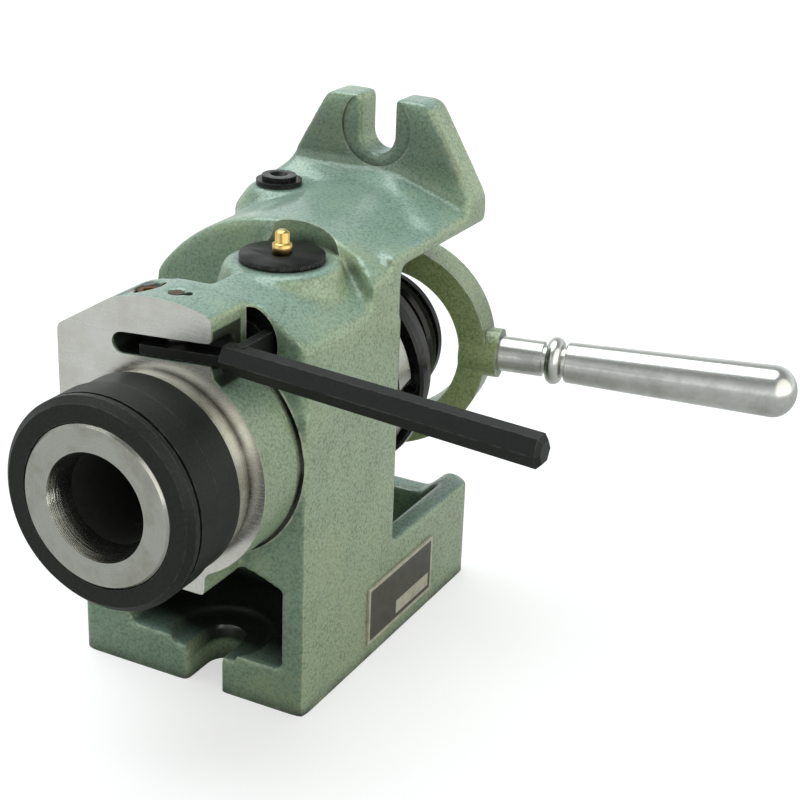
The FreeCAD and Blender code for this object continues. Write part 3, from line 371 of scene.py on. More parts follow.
def skinned(data, smoothing):
    """One closed skin over all that the mesh holds, smoothed so many times."""
    blank = linked(data)
    skin = blank.modifiers.new("skin", "REMESH")
    skin.mode, skin.voxel_size = "VOXEL", CAST_GRAIN
    if smoothing:
        blend = blank.modifiers.new("blend", "SMOOTH")
        blend.factor, blend.iterations = 0.5, smoothing
    return settled(blank)


def carved(data, tools):
    """The mesh less each tool in turn."""
    block = linked(data)
    for number, (build, arguments) in enumerate(tools):
        shape = bmesh.new()
        build(shape, *arguments)
        tool_data = bpy.data.meshes.new("tool_%d" % number)
        shape.to_mesh(tool_data)
        shape.free()
        tool = linked(tool_data)
        cut = block.modifiers.new(tool.name, "BOOLEAN")
        cut.object, cut.operation, cut.solver = tool, "DIFFERENCE", "MANIFOLD"
        data = settled(block)
        bpy.data.objects.remove(tool)
        block = linked(data)
    bpy.data.objects.remove(block)
    return data


def raw_casting(source):
    """The casting as it leaves the mould: a copy with stock left on the faces that are machined later."""
    shape = bmesh.new()
    shape.from_mesh(source.data)
    bmesh.ops.remove_doubles(shape, verts=shape.verts, dist=1e-6)
    for outward, reach in MACHINED:
        flats = [face for face in shape.faces if face.normal.dot(outward) > 0.999
                 and abs(face.calc_center_median().dot(outward) - reach) < 1e-5]
        grown = bmesh.ops.extrude_face_region(shape, geom=flats)["geom"]
        corners = [item for item in grown if isinstance(item, bmesh.types.BMVert)]
        bmesh.ops.translate(shape, verts=corners, vec=outward * STOCK)
        bmesh.ops.delete(shape, geom=[face for face in flats if face.is_valid], context="FACES_ONLY")
    data = bpy.data.meshes.new("raw_casting")
    shape.to_mesh(data)
    shape.free()
    return data


LOW_LEFT = (arc(LOW_RADIUS, RIDGE, -LOW_RADIUS) + [(-0.060, AXIS_HEIGHT), (-0.060, 0.170), (RIDGE, 0.170)],
            COLUMN_FRONT, ARCH_FRONT, ACROSS)
OVER_ARCH = (arc(ARCH_RADIUS, 0.045, -0.045) + [(-0.045, 0.180), (0.045, 0.180)], -0.031, 0.0, ACROSS)
OVER_PLATE = ([(-0.001, SLAB_TOP), (RAMP_START, SLAB_TOP), (EAR_FRONT, RAMP_TOP), (EAR_FRONT, 0.175),
               (-0.001, 0.175)], -0.045, 0.045, ALONG)
PLATE_LEFT = ([(-0.045, -0.001), (-0.029, -0.001), (-0.033, 0.018), (-0.0415, 0.034), (-0.045, 0.034)],
              0.1440, 0.175, UPWARD)
CORES = ((prism, LOW_LEFT), (prism, OVER_ARCH), (prism, OVER_PLATE), (prism, PLATE_LEFT))
CREASE = (circle((0, AXIS_HEIGHT), HOUSING_RADIUS + 0.0013, -78, 44)
          + circle((0, AXIS_HEIGHT), HOUSING_RADIUS - 0.0003, 44, -78), -0.0675, -0.0635, ACROSS)
CUTTERS = ((drum, (COVER_PLACE, COVER_SPOT, COVER_PLACE.z, 0.170)),
           (drum, (COVER_PLACE, COVER_SHANK, 0.139, 0.153)),
           (drum, (LOCK_PLACE, LOCK_HOLE, 0.140, 0.165)),
           (drum, (OVAL_PLACE, OVAL_RADIUS, OVAL_FLOOR, OVER_TOWER, OVAL_STRETCH, OVAL_TURN)),
           (drum, (DIMPLE_PLACE, DIMPLE_RADIUS, DIMPLE_FLOOR, OVER_TOWER)),
           (prism, (circle(HUB_PLACE, HUB_RADIUS), -0.0670, -0.0560, ACROSS)),
           (prism, CREASE),
           (drum, (PLUNGER_PLACE, PLUNGER_BORE, 0.1180, SPRING_TOP)),
           (prism, (circle((0, EAR_SPOT_HEIGHT), EAR_SPOT), 0.048, EAR_FRONT + EAR_SPOT_DEPTH, ACROSS)))


def with_arches(data):
    """Add what the pattern has over the spindle: the arch, the ridge's crown and the two bosses."""
    shape = bmesh.new()
    shape.from_mesh(data)
    inner, under_arch = 0.038, 0.046
    wall = [(BASE_RIGHT, 0.120)] + arc(ARCH_RADIUS, BASE_RIGHT, BASE_LEFT)
    wall += [(BASE_LEFT, 0.017), (-inner, 0.017)] + arc(under_arch, -inner, inner)
    prism(shape, wall, ARCH_FRONT, 0.0, ACROSS)
    prism(shape, arc(ARCH_RADIUS, 0.0402, -0.0402), -0.001, EAR_FRONT + 0.001, ACROSS)
    prism(shape, arc(FRONT_RADIUS, 0.030, RIDGE) + [(RIDGE, 0.138), (0.030, 0.138)],
          COLUMN_FRONT, ARCH_FRONT + 0.001, ACROSS)
    prism(shape, [(0.028, 0.004), (0.028, 0.0), (BASE_RIGHT, -0.009), (BASE_RIGHT, 0.004)], 0.1465, SLAB_TOP,
          UPWARD)
    drum(shape, OLD_COVER_PLACE, COVER_SHANK + 0.001, 0.138, OLD_COVER_PLACE.z)
    prism(shape, circle(HUB_PLACE, HUB_OLD), COLUMN_FRONT, -0.0550, ACROSS)
    prism(shape, [(0.034, COLUMN_FRONT), (BASE_RIGHT, COLUMN_FRONT), (BASE_RIGHT, -0.058), (0.034, -0.058)],
          0.0, 0.113, UPWARD)
    flared(shape, COVER_PLACE, COVER_FOOT, COVER_SPOT, 0.134, COVER_PLACE.z)
    flared(shape, LOCK_PLACE, LOCK_FOOT, LOCK_BOSS, SLAB_TOP - 0.003, LOCK_PLACE.z)
    shape.to_mesh(data)
    shape.free()
    return data


def crown_blend(data):
    """Further smoothing of the body over the spindle, behind the tower, where the pattern is well rounded."""
    shape = bmesh.new()
    shape.from_mesh(data)
    upper = [vert for vert in shape.verts if vert.co.z > 0.128 and vert.co.y > COLUMN_FRONT + 0.0015
             and not (vert.co.z > EAR_FOOT and vert.co.y > EAR_FRONT - 0.003)]
    for _ in range(CROWN_PASSES):
        bmesh.ops.smooth_vert(shape, verts=upper, factor=0.5, use_axis_x=True, use_axis_y=True, use_axis_z=True)
    shape.to_mesh(data)
    shape.free()


def machine(data):
    """Cut the stock away to flat faces with sharp rims."""
    shape = bmesh.new()
    shape.from_mesh(data)
    for face in shape.faces:
        face.smooth = True
    for outward, reach in MACHINED:
        geom = shape.verts[:] + shape.edges[:] + shape.faces[:]
        cut = bmesh.ops.bisect_plane(shape, geom=geom, dist=1e-6, plane_co=outward * reach, plane_no=outward,
                                     clear_outer=True)["geom_cut"]
        rim = [edge for edge in cut if isinstance(edge, bmesh.types.BMEdge)]
        filled = bmesh.ops.triangle_fill(shape, use_beauty=True, edges=rim, normal=outward)["geom"]
        for face in filled:
            if isinstance(face, bmesh.types.BMFace):
                face.smooth = False
                if face.normal.dot(outward) < 0:
                    face.normal_flip()
    shape.to_mesh(data)
    shape.free()


def casting_finish(face):
    """Which of the casting's coats a facet has: 0 paint, 1 ground, 2 the darker copy of the paint, painted shade
    for the hub recess.
    """
    off_hub = math.hypot(face.center.x - HUB_PLACE[0], face.center.z - HUB_PLACE[1])
    if off_hub < HUB_RADIUS + 0.0002 and COLUMN_FRONT + 0.0004 < face.center.y < -0.0555:
        return 2
    for outward, reach in MACHINED:
        if face.normal.dot(outward) > 0.999 and abs(face.center.dot(outward) - reach) < 1e-6:
            return 1
    return 0


def clad(obj, *materials):
    """Give a node or piece these materials, one slot each."""
    obj.data.materials.clear()
    for material in materials:
        obj.data.materials.append(material)


def place(name, data, body, slot, *stands_for):
    """Put a finished mesh in the scene as a piece that rides on a body, and hide the parts it replaces."""
    made = bpy.data.objects.new(name, data)
    bpy.context.scene.collection.objects.link(made)
    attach(made, body)
    if stands_for:
        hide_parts(*stands_for)
    return made


cast_data = skinned(with_arches(carved(skinned(raw_casting(casting), 0), CORES)), BLEND_PASSES)
crown_blend(cast_data)
cast_data = carved(cast_data, CUTTERS)
machine(cast_data)
cast_data.name = "cast_body"
cast_data.set_sharp_from_angle(angle=math.radians(38))
cast_body = place("cast_body", cast_data, "casting", "green_casting", "body_casting")
clad(cast_body, HAMMER_PAINT, GROUND_IRON, SHADED_RECESS_PAINT)
for face in cast_data.polygons:
    face.material_index = casting_finish(face)

# Ring pieces turned in a lathe
# Bearing caps, spindle, index ring, sleeve and draw tube are steel turned about the spindle's axis,
# and the two bushes bronze. They carry fine concentric tool marks and stains, and are darker in the corners:
# painted shade mixed with dirt.


def turned_group():
    """Concentric tool marks about the spindle axis, and slow stains."""
    group, given, out = new_group("Turned face", {"Pitch": 2600.0},
                                  {"Mark": "NodeSocketFloat", "Stain": "NodeSocketFloat"})
    place = node(group, "ShaderNodeTexCoord").outputs["Object"]
    from_axis = node(group, "ShaderNodeVectorMath", {0: place, 1: (0, 0, AXIS_HEIGHT)}, operation="SUBTRACT")
    across = node(group, "ShaderNodeVectorMath", {0: from_axis.outputs[0], 1: (1, 0, 1)}, operation="MULTIPLY")
    radius = node(group, "ShaderNodeVectorMath", {0: across.outputs[0]}, operation="LENGTH")
    parts = node(group, "ShaderNodeSeparateXYZ", {0: place})
    spiral = node(group, "ShaderNodeMath", {0: radius.outputs["Value"], 1: parts.outputs["Y"]}, operation="ADD")
    pitched = node(group, "ShaderNodeMath", {0: spiral.outputs[0], 1: given["Pitch"]}, operation="MULTIPLY")
    marks = node(group, "ShaderNodeTexNoise", {"W": pitched.outputs[0], "Scale": 1.0, "Detail": 5.0,
                                               "Roughness": 0.7}, noise_dimensions="1D")
    stains = node(group, "ShaderNodeTexNoise", {"Vector": place, "Scale": 60.0, "Detail": 6.0, "Roughness": 0.7})
    group.links.new(marks.outputs["Fac"], out["Mark"])
    group.links.new(ramp(group, stains.outputs["Fac"], 0.45, 0.75), out["Stain"])
    return group


TURNED = turned_group()


def turned_steel(name, bright, dull, stain, rough_low, rough_high):
    """Turned and polished steel in a given tone."""
    made, tree, shader = new_material(name, Metallic=1.0)
    face = use(tree, TURNED)
    dirt_and_shade = use(tree, GRIME_AND_SHADE, Reach=0.004)
    bare = mix(tree, face["Mark"], dull, bright)
    stained = mix(tree, face["Stain"], bare, stain)
    # Darker in corners: painted shade mixed with dirt.
    tree.links.new(mix(tree, dirt_and_shade["Dirt and shade"], stained, (0.05, 0.045, 0.035, 1)), shader.inputs["Base Color"])
    tree.links.new(ramp(tree, face["Mark"], 0.3, 0.7, rough_low, rough_high), shader.inputs["Roughness"])
    bump(tree, shader, face["Mark"], 0.14, 0.0002)
    return made


SPINDLE_STEEL = turned_steel("turned_spindle_steel", (0.62, 0.62, 0.57, 1), (0.40, 0.40, 0.36, 1),
                             (0.33, 0.31, 0.25, 1), 0.14, 0.30)
CAP_STEEL = turned_steel("bearing_cap_steel", (0.66, 0.65, 0.57, 1), (0.36, 0.35, 0.30, 1),
                         (0.26, 0.23, 0.17, 1), 0.16, 0.30)
# Polished, and paler than the other steel to lift the cone out of the bore's shade: a real polish, with painted
# light in its colour.
LIGHTENED_CONE_STEEL = turned_steel("polished_cone_steel_lightened", (0.95, 0.94, 0.88, 1), (0.74, 0.73, 0.68, 1),
                          (0.55, 0.52, 0.44, 1), 0.08, 0.20)
BRONZE = turned_steel("bearing_bronze", (0.62, 0.43, 0.22, 1), (0.44, 0.29, 0.14, 1),
                      (0.20, 0.12, 0.05, 1), 0.22, 0.4)


def dark_recess():
    """Painted shade for the unlit bore of the spindle and its key: near black with a fine grain."""
    made, tree, shader = new_material("bore_painted_shade", Roughness=0.85)
    place = node(tree, "ShaderNodeTexCoord").outputs["Object"]
    grain = node(tree, "ShaderNodeTexNoise", {"Vector": place, "Scale": 420.0, "Detail": 6.0})
    tree.links.new(mix(tree, grain.outputs["Fac"], (0.004, 0.005, 0.003, 1), (0.016, 0.018, 0.013, 1)),
                   shader.inputs["Base Color"])
    bump(tree, shader, grain.outputs["Fac"], 0.3, 0.0004)
    return made


BORE_SHADE = dark_recess()
for name in ("index_ring", "closer_sleeve", "draw_tube", "index_plunger"):
    clad(NODES[name], SPINDLE_STEEL)
for name in ("front_bearing_cap", "rear_bearing_cap"):
    clad(NODES[name], CAP_STEEL)
for name in ("front_bush", "rear_bush"):
    clad(NODES[name], BRONZE)
clad(NODES["collet_key"], BORE_SHADE)
clad(NODES["spindle"], SPINDLE_STEEL, BORE_SHADE, LIGHTENED_CONE_STEEL)
BORE_RADIUS, BORE_MOUTH, CONE_RADIUS = 0.0161, -0.1138, 0.0186
# Painted shade: the bore's faces deeper than its mouth take the near black; the mouth's cone takes the lightened
# steel.
for face in NODES["spindle"].data.polygons:
    off_axis = math.hypot(face.center.x, face.center.z - AXIS_HEIGHT)
    if off_axis < BORE_RADIUS and face.center.y > BORE_MOUTH:
        face.material_index = 1
    elif off_axis < CONE_RADIUS and face.center.y < BORE_MOUTH and abs(face.normal.y) < 0.9:
        face.material_index = 2

# Spindle nut
# The steel nut that holds the spindle in its rear bearing. Its rim stands out behind the column as a
# plain bright disc.

NUT_RIM, NUT_FLAT = 0.0385, 0.025


def refitted(name, move):
    """A copy of a node's mesh, merged, with each corner moved by a rule."""
    shape = bmesh.new()
    shape.from_mesh(NODES[name].data)
    bmesh.ops.remove_doubles(shape, verts=shape.verts, dist=1e-6)
    for vert in shape.verts:
        vert.co = move(vert.co.copy())
    data = bpy.data.meshes.new(name + "_body")
    shape.to_mesh(data)
    shape.free()
    data.set_sharp_from_angle(angle=math.radians(35))
    return data


def widened(corner):
    """The nut's outside taken out to its rim; its bore stays."""
    off_axis = math.hypot(corner.x, corner.z - AXIS_HEIGHT)
    if off_axis < NUT_FLAT:
        return corner
    share = NUT_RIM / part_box("spindle_nut")[1].x
    return Vector((corner.x * share, corner.y, AXIS_HEIGHT + (corner.z - AXIS_HEIGHT) * share))


nut_disc = place("nut_disc", refitted("spindle_nut", widened), "spindle", "ground_steel", "spindle_nut")
clad(nut_disc, SPINDLE_STEEL)

# Protector nut and dust ring
# The nut that guards the nose thread, and the ring behind it, are steel with a black phosphate coat:
# dead matt, finely pitted, and rubbed grey along their edges.


def phosphate(name, dark, light, rough_low, rough_high, grain):
    """Matt black chemical coat on steel, with a fine pitted grain and rubbed edges."""
    made, tree, shader = new_material(name, Metallic=0.2, Specular_IOR_Level=0.34)
    place = node(tree, "ShaderNodeTexCoord").outputs["Object"]
    pits = node(tree, "ShaderNodeTexNoise", {"Vector": place, "Scale": grain, "Detail": 5.0, "Roughness": 0.75})
    clouds = node(tree, "ShaderNodeTexNoise", {"Vector": place, "Scale": 45.0, "Detail": 4.0})
    wear = use(tree, EDGE_WEAR, Width=0.0006, Breakup=420.0)
    coat = mix(tree, ramp(tree, pits.outputs["Fac"], 0.35, 0.68), dark, light)
    rubbed = mix(tree, wear["Edge"], coat, (0.085, 0.085, 0.08, 1))
    tree.links.new(rubbed, shader.inputs["Base Color"])
    tree.links.new(ramp(tree, clouds.outputs["Fac"], 0.3, 0.7, rough_low, rough_high),
                   shader.inputs["Roughness"])
    bump(tree, shader, pits.outputs["Fac"], 0.16, 0.00025)
    return made


MATT_BLACK = phosphate("black_phosphate", (0.006, 0.007, 0.005, 1), (0.019, 0.021, 0.016, 1),
                       0.38, 0.55, 1500.0)
for name in ("nose_protector", "dust_ring"):
    clad(NODES[name], MATT_BLACK)

# Closer
# A flange, its carrier and the sliding collar stand on a sleeve behind the column. They are turned
# steel, blackened; the flange and the collar are kept oiled and shine.

OILED_BLACK = phosphate("oiled_black", (0.006, 0.006, 0.006, 1), (0.016, 0.016, 0.015, 1), 0.10, 0.22, 700.0)
CARRIER_BLACK = phosphate("carrier_black", (0.035, 0.036, 0.034, 1), (0.075, 0.075, 0.07, 1),
                          0.30, 0.42, 1200.0)
clad(NODES["adjusting_ring"], OILED_BLACK)
clad(NODES["closing_collar"], OILED_BLACK)
clad(NODES["closer_carrier"], CARRIER_BLACK)

# Yoke
# An iron casting in the same green, with its ring about the collar, a long hub on the pivot screw and
# a boss that takes the handle's stud. Two trunnion screws reach in from its rim.

# Painted light on the yoke too: paler on faces turned up, darkest on the faces turned to +X.
YOKE_PAINT = hammer_paint("yoke_hammer_paint", (0.345, 0.450, 0.270, 1), (0.300, 0.375, 0.165, 1),
                          (0.170, 0.230, 0.100, 1))
clad(NODES["closer_yoke"], YOKE_PAINT)
DARK_STEEL = phosphate("dull_dark_steel", (0.05, 0.038, 0.028, 1), (0.13, 0.085, 0.05, 1), 0.45, 0.7, 500.0)
for name in ("trunnion_top", "trunnion_bottom", "spring_pin"):
    clad(NODES[name], DARK_STEEL)
clad(NODES["yoke_pivot_screw"], OILED_BLACK)

# Handle
# A turned and chromed steel handle screwed into the yoke: neck, collar, and a grip that swells to a
# dome. Handling has left fine scratches round it.


def chrome():
    made, tree, shader = new_material("handle_chrome", Metallic=1.0)
    place = node(tree, "ShaderNodeTexCoord").outputs["Object"]
    stretched = node(tree, "ShaderNodeVectorMath", {0: place, 1: (700.0, 60.0, 60.0)}, operation="MULTIPLY")
    rings = node(tree, "ShaderNodeTexNoise", {"Vector": stretched.outputs[0], "Scale": 1.0, "Detail": 4.0})
    smear = node(tree, "ShaderNodeTexNoise", {"Vector": place, "Scale": 70.0, "Detail": 5.0, "Roughness": 0.7})
    tree.links.new(mix(tree, ramp(tree, smear.outputs["Fac"], 0.4, 0.75), (0.70, 0.70, 0.67, 1),
                       (0.46, 0.46, 0.43, 1)), shader.inputs["Base Color"])
    tree.links.new(ramp(tree, smear.outputs["Fac"], 0.3, 0.75, 0.18, 0.30), shader.inputs["Roughness"])
    bump(tree, shader, rings.outputs["Fac"], 0.05, 0.0002)
    return made


HANDLE_MIDDLE, HANDLE_RUN = Vector((0.132294, 0.082555, 0.0950)), Vector((0.981628, 0.190803, 0.0))
STUD, NECK, GRIP_START, GRIP_END = 0.0050, 0.00675, 0.0078, 0.00975
BEAD_PLACE, BEAD_HALF, BEAD_FOOT, BEAD_HEIGHT = -0.0622, 0.0030, 0.0062, 0.0029
HANDLE_PROFILE = [(-0.0937, 0.0), (-0.0937, STUD), (-0.0837, STUD), (-0.0836, NECK), (-0.0668, NECK),
                  (-0.0666, NECK - 0.0013), (-0.0653, NECK - 0.0013)]
HANDLE_PROFILE += [(BEAD_PLACE - BEAD_HALF * math.cos(math.radians(turn)),
                    BEAD_FOOT + BEAD_HEIGHT * math.sin(math.radians(turn))) for turn in range(0, 181, 15)]
HANDLE_PROFILE += [(-0.0590, NECK - 0.0010), (-0.0580, NECK - 0.0010), (-0.0578, GRIP_START - 0.0006),
                   (-0.0570, GRIP_START), (0.0205, GRIP_END)]
HANDLE_PROFILE += [(0.0205 + 0.0087 * math.sin(math.radians(turn)), GRIP_END * math.cos(math.radians(turn)))
                   for turn in range(10, 91, 10)]


def turned_handle():
    """The handle's outline spun round its own axis."""
    shape = bmesh.new()
    outward = Vector((0, 0, 1))
    points = [shape.verts.new(HANDLE_MIDDLE + HANDLE_RUN * along + outward * radius)
              for along, radius in HANDLE_PROFILE]
    edges = [shape.edges.new(pair) for pair in zip(points, points[1:])]
    bmesh.ops.spin(shape, geom=points + edges, cent=HANDLE_MIDDLE, axis=HANDLE_RUN, angle=math.tau, steps=72,
                   use_merge=True)
    bmesh.ops.remove_doubles(shape, verts=shape.verts, dist=1e-6)
    bmesh.ops.recalc_face_normals(shape, faces=shape.faces[:])
    for face in shape.faces:
        face.smooth = True
    data = bpy.data.meshes.new("handle_bar")
    shape.to_mesh(data)
    shape.free()
    data.set_sharp_from_angle(angle=math.radians(32))
    return data


handle_bar = place("handle_bar", turned_handle(), "yoke", "chrome", "closer_handle")
clad(handle_bar, chrome())

# Index lever
# A length of hexagon bar, blacked with oil, with its blade and hub forged on. The flats are satin and
# the corners rubbed.

SATIN_BLACK = phosphate("satin_black_bar", (0.004, 0.005, 0.004, 1), (0.009, 0.010, 0.009, 1),
                        0.38, 0.50, 900.0)
clad(NODES["index_lever"], SATIN_BLACK)
clad(NODES["lever_pivot_screw"], OILED_BLACK)

# Plunger spring
# A short coil of drawn wire presses the index plunger down, its head under the pin in the tower. On the fixture
# its foot goes up and down with the plunger, so it is squeezed when the lever is lifted; here it is drawn once,
# at rest, and rides on no body.

SPRING_FOOT, SPRING_COIL, SPRING_WIRE, SPRING_TURNS = 0.1440, 0.0031, 0.00042, 3.5


def coil():
    """The spring's wire, drawn round its helix."""
    shape = bmesh.new()
    steps, sides = 84, 8
    rings = []
    for step in range(steps + 1):
        turn = math.tau * SPRING_TURNS * step / steps
        rise = SPRING_FOOT + SPRING_WIRE + (SPRING_TOP - SPRING_FOOT - 2 * SPRING_WIRE) * step / steps
        outward = Vector((math.cos(turn), math.sin(turn), 0))
        middle = Vector((*PLUNGER_PLACE, rise)) + outward * SPRING_COIL
        ring = []
        for side in range(sides):
            angle = math.tau * side / sides
            offset = outward * math.cos(angle) + Vector((0, 0, math.sin(angle)))
            ring.append(shape.verts.new(middle + offset * SPRING_WIRE))
        rings.append(ring)
    for before, after in zip(rings, rings[1:]):
        for side in range(sides):
            shape.faces.new((before[side - 1], before[side], after[side], after[side - 1]))
    for ring in (rings[0], rings[-1]):
        shape.faces.new(ring)
    bmesh.ops.recalc_face_normals(shape, faces=shape.faces[:])
    for face in shape.faces:
        face.smooth = True
    data = bpy.data.meshes.new("lift_spring")
    shape.to_mesh(data)
    shape.free()
    return data


lift_spring = linked(coil())
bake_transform(lift_spring)
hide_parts("plunger_spring")
clad(lift_spring, DARK_STEEL)

# Tower screw
# A headless socket screw in the top of the tower, left bare, so that it has rusted.


def rusty():
    made, tree, shader = new_material("rusted_screw", Metallic=0.4)
    place = node(tree, "ShaderNodeTexCoord").outputs["Object"]
    spots = node(tree, "ShaderNodeTexNoise", {"Vector": place, "Scale": 600.0, "Detail": 6.0, "Roughness": 0.8})
    tree.links.new(mix(tree, ramp(tree, spots.outputs["Fac"], 0.4, 0.62), (0.03, 0.018, 0.010, 1),
                       (0.26, 0.11, 0.04, 1)), shader.inputs["Base Color"])
    tree.links.new(ramp(tree, spots.outputs["Fac"], 0.3, 0.7, 0.5, 0.85), shader.inputs["Roughness"])
    bump(tree, shader, spots.outputs["Fac"], 0.4, 0.0003)
    return made


clad(NODES["tower_set_screw"], rusty())

# Cover and oiler
# The black screwed cover closes the oil chamber of the column. In its middle stands a brass oiler.

COVER_BLACK = phosphate("cover_black", (0.004, 0.004, 0.004, 1), (0.012, 0.013, 0.012, 1), 0.24, 0.46, 260.0)
COVER_SHARE, COVER_RISE, CUP_SHARE = 0.945, 0.0022, 0.80


def to_cover_place(corner):
    """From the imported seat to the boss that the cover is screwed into, a little smaller and lower."""
    offset = corner - OLD_COVER_PLACE
    offset.x *= COVER_SHARE
    offset.y *= COVER_SHARE
    if offset.z > COVER_RISE:
        offset.z = COVER_RISE + (offset.z - COVER_RISE) * CUP_SHARE
    return COVER_PLACE + offset


cover_disc = place("cover_disc", refitted("top_cover", to_cover_place), "casting", "black_oxide", "top_cover")
clad(cover_disc, COVER_BLACK)


def brass():
    made, tree, shader = new_material("bright_brass", Metallic=1.0)
    face = use(tree, TURNED, Pitch=1800.0)
    dirt_and_shade = use(tree, GRIME_AND_SHADE, Reach=0.002)
    bare = mix(tree, face["Mark"], (0.55, 0.36, 0.10, 1), (0.86, 0.62, 0.24, 1))
    # Darker in corners: painted shade mixed with dirt.
    tree.links.new(mix(tree, dirt_and_shade["Dirt and shade"], bare, (0.10, 0.06, 0.02, 1)), shader.inputs["Base Color"])
    tree.links.new(ramp(tree, face["Mark"], 0.3, 0.7, 0.16, 0.32), shader.inputs["Roughness"])
    return made


BRASS = brass()
oil_cup = place("oil_cup", refitted("oiler", to_cover_place), "casting", "brass", "oiler")
clad(oil_cup, BRASS)
clad(NODES["lock_pad"], BRASS)

# Lock screw
# A black socket screw through the slab, with a thin nut, presses a brass pad on the carrier.

LOCK_HEAD_SHARE, NUT_SHARE = 0.50, 0.56


def lowered(corner):
    """The screw's head drawn down to just over its nut; the thread below stays."""
    if corner.z > LOCK_PLACE.z:
        corner.z = LOCK_PLACE.z + (corner.z - LOCK_PLACE.z) * LOCK_HEAD_SHARE
    return corner


def thinned(corner):
    """The thin nut, seated on the boss."""
    packed_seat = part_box("lock_nut")[0].z
    corner.z = LOCK_PLACE.z + (corner.z - packed_seat) * NUT_SHARE
    return corner


lock_head = place("lock_head", refitted("lock_screw", lowered), "lock", "black_oxide", "lock_screw")
lock_ring = place("lock_ring", refitted("lock_nut", thinned), "casting", "black_oxide", "lock_nut")
for piece in (lock_head, lock_ring):
    clad(piece, COVER_BLACK)

# Name plate
# A thin enamelled plate on the base, with a cream border, a dark field and one blank cream window. It
# carries no words.

PLATE_CREAM = (0.55, 0.53, 0.42, 1)
PLATE_FIELD = (0.062, 0.060, 0.046, 1)
plate_low, plate_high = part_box("name_plate")
PLATE_BORDER = 0.0013
INK_EDGE = 0.00008
WINDOW_FRONT, WINDOW_REAR = 0.0215, 0.0478
WINDOW_LOW, WINDOW_HIGH = 0.0030, 0.0085


def plate_enamel():
    made, tree, shader = new_material("plate_enamel", Roughness=0.38, Metallic=0.1)
    place = node(tree, "ShaderNodeTexCoord").outputs["Object"]
    field = inside(tree, (0, plate_low.y + PLATE_BORDER, plate_low.z + PLATE_BORDER),
                   (1, plate_high.y - PLATE_BORDER, plate_high.z - PLATE_BORDER), (INK_EDGE,) * 3)
    window = inside(tree, (0, plate_low.y + WINDOW_FRONT, plate_low.z + WINDOW_LOW),
                    (1, plate_low.y + WINDOW_REAR, plate_low.z + WINDOW_HIGH), (INK_EDGE,) * 3)
    worn = node(tree, "ShaderNodeTexNoise", {"Vector": place, "Scale": 300.0, "Detail": 6.0})
    ink = mix(tree, ramp(tree, worn.outputs["Fac"], 0.3, 0.8), PLATE_FIELD, (0.10, 0.096, 0.075, 1))
    cream = mix(tree, ramp(tree, worn.outputs["Fac"], 0.45, 0.8), PLATE_CREAM, (0.36, 0.34, 0.26, 1))
    with_field = mix(tree, field, cream, ink)
    tree.links.new(mix(tree, window, with_field, cream), shader.inputs["Base Color"])
    return made


clad(NODES["name_plate"], plate_enamel())

# Floor, lights and camera
# A pale floor that the object stands on, white to the camera but for the shadow, soft light from
# above and from the right, and the photograph's view.

FLOOR_SIZE = 8.0
FLOOR_GREY = (0.5, 0.5, 0.5, 1)
FLOOR_LIFT = 0.56


def floor_paper():
    """Mid grey paper for the light that it sends back, raised to white for the camera."""
    made, tree, shader = new_material("floor_paper", Roughness=0.9)
    shader.inputs["Base Color"].default_value = FLOOR_GREY
    shader.inputs["Emission Color"].default_value = (1, 1, 1, 1)
    seen = node(tree, "ShaderNodeLightPath").outputs["Is Camera Ray"]
    tree.links.new(ramp(tree, seen, 0, 1, 0.0, FLOOR_LIFT), shader.inputs["Emission Strength"])
    return made


sheet_mesh = bmesh.new()
bmesh.ops.create_grid(sheet_mesh, x_segments=1, y_segments=1, size=FLOOR_SIZE / 2)
floor_data = bpy.data.meshes.new("floor")
sheet_mesh.to_mesh(floor_data)
sheet_mesh.free()
floor = bpy.data.objects.new("floor", floor_data)
bpy.context.scene.collection.objects.link(floor)
floor_data.materials.append(floor_paper())

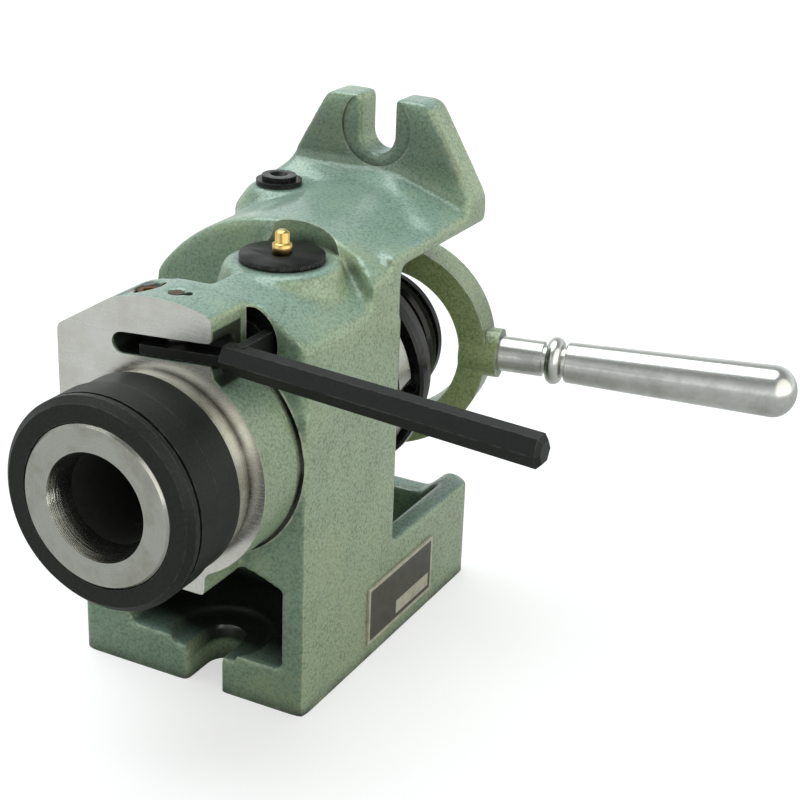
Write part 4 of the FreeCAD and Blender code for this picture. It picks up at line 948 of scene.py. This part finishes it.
SKY_LIGHT = 0.32
world = bpy.data.worlds.new("studio")
bpy.context.scene.world = world
world.use_nodes = True
sky = world.node_tree
background = sky.nodes["Background"]
path = node(sky, "ShaderNodeLightPath")
direction = node(sky, "ShaderNodeSeparateXYZ", {0: node(sky, "ShaderNodeTexCoord").outputs["Generated"]})
wall = ramp(sky, direction.outputs["Z"], 0.15, 0.75, 1.0, 0.3)
shown = node(sky, "ShaderNodeMath", {0: path.outputs["Is Glossy Ray"], 1: wall}, operation="MULTIPLY")
seen = node(sky, "ShaderNodeMath", {0: shown.outputs[0], 1: path.outputs["Is Camera Ray"]}, operation="MAXIMUM")
level = node(sky, "ShaderNodeMath", {0: seen.outputs[0], 1: SKY_LIGHT}, operation="MAXIMUM")
background.inputs["Color"].default_value = (0.96, 1.0, 1.0, 1)
sky.links.new(level.outputs[0], background.inputs["Strength"])


def soft_lamp(name, towards, strength, spread, tint):
    """Broad light from the direction towards, the same all over the floor."""
    lamp = bpy.data.lights.new(name, "SUN")
    lamp.energy, lamp.angle, lamp.color = strength, math.radians(spread), tint
    made = bpy.data.objects.new(name, lamp)
    made.rotation_euler = Vector(towards).to_track_quat("Z", "Y").to_euler()
    bpy.context.scene.collection.objects.link(made)


soft_lamp("overhead", (-0.35, 0.10, 0.93), 2.2, 60, (0.93, 1.0, 1.0))
soft_lamp("right_side", (0.90, -0.25, 0.35), 1.4, 85, (1.0, 0.98, 0.90))
soft_lamp("front_left", (-0.55, -0.75, 0.40), 0.25, 50, (1.0, 1.0, 1.0))

VIEW_AZIMUTH, VIEW_ELEVATION, VIEW_ROLL = (math.radians(angle) for angle in (26.95, 22.68, 2.22))
VIEW_PLACE = (0.2982, -0.50545, 0.3338)
LENS, SENSOR = 77.65, 36.0

back = Vector((math.sin(VIEW_AZIMUTH) * math.cos(VIEW_ELEVATION),
               -math.cos(VIEW_AZIMUTH) * math.cos(VIEW_ELEVATION), math.sin(VIEW_ELEVATION)))
flat = (-back).cross(Vector((0, 0, 1))).normalized()
rise = flat.cross(-back)
right = flat * math.cos(VIEW_ROLL) + rise * math.sin(VIEW_ROLL)
up = rise * math.cos(VIEW_ROLL) - flat * math.sin(VIEW_ROLL)
camera_data = bpy.data.cameras.new("photo_view")
camera_data.lens, camera_data.sensor_width = LENS, SENSOR
camera = bpy.data.objects.new("photo_view", camera_data)
bpy.context.scene.collection.objects.link(camera)
camera.matrix_world = Matrix((right, up, back)).transposed().to_4x4()
camera.location = VIEW_PLACE
bpy.context.scene.camera = camera
bpy.context.scene.view_settings.view_transform = "Standard"
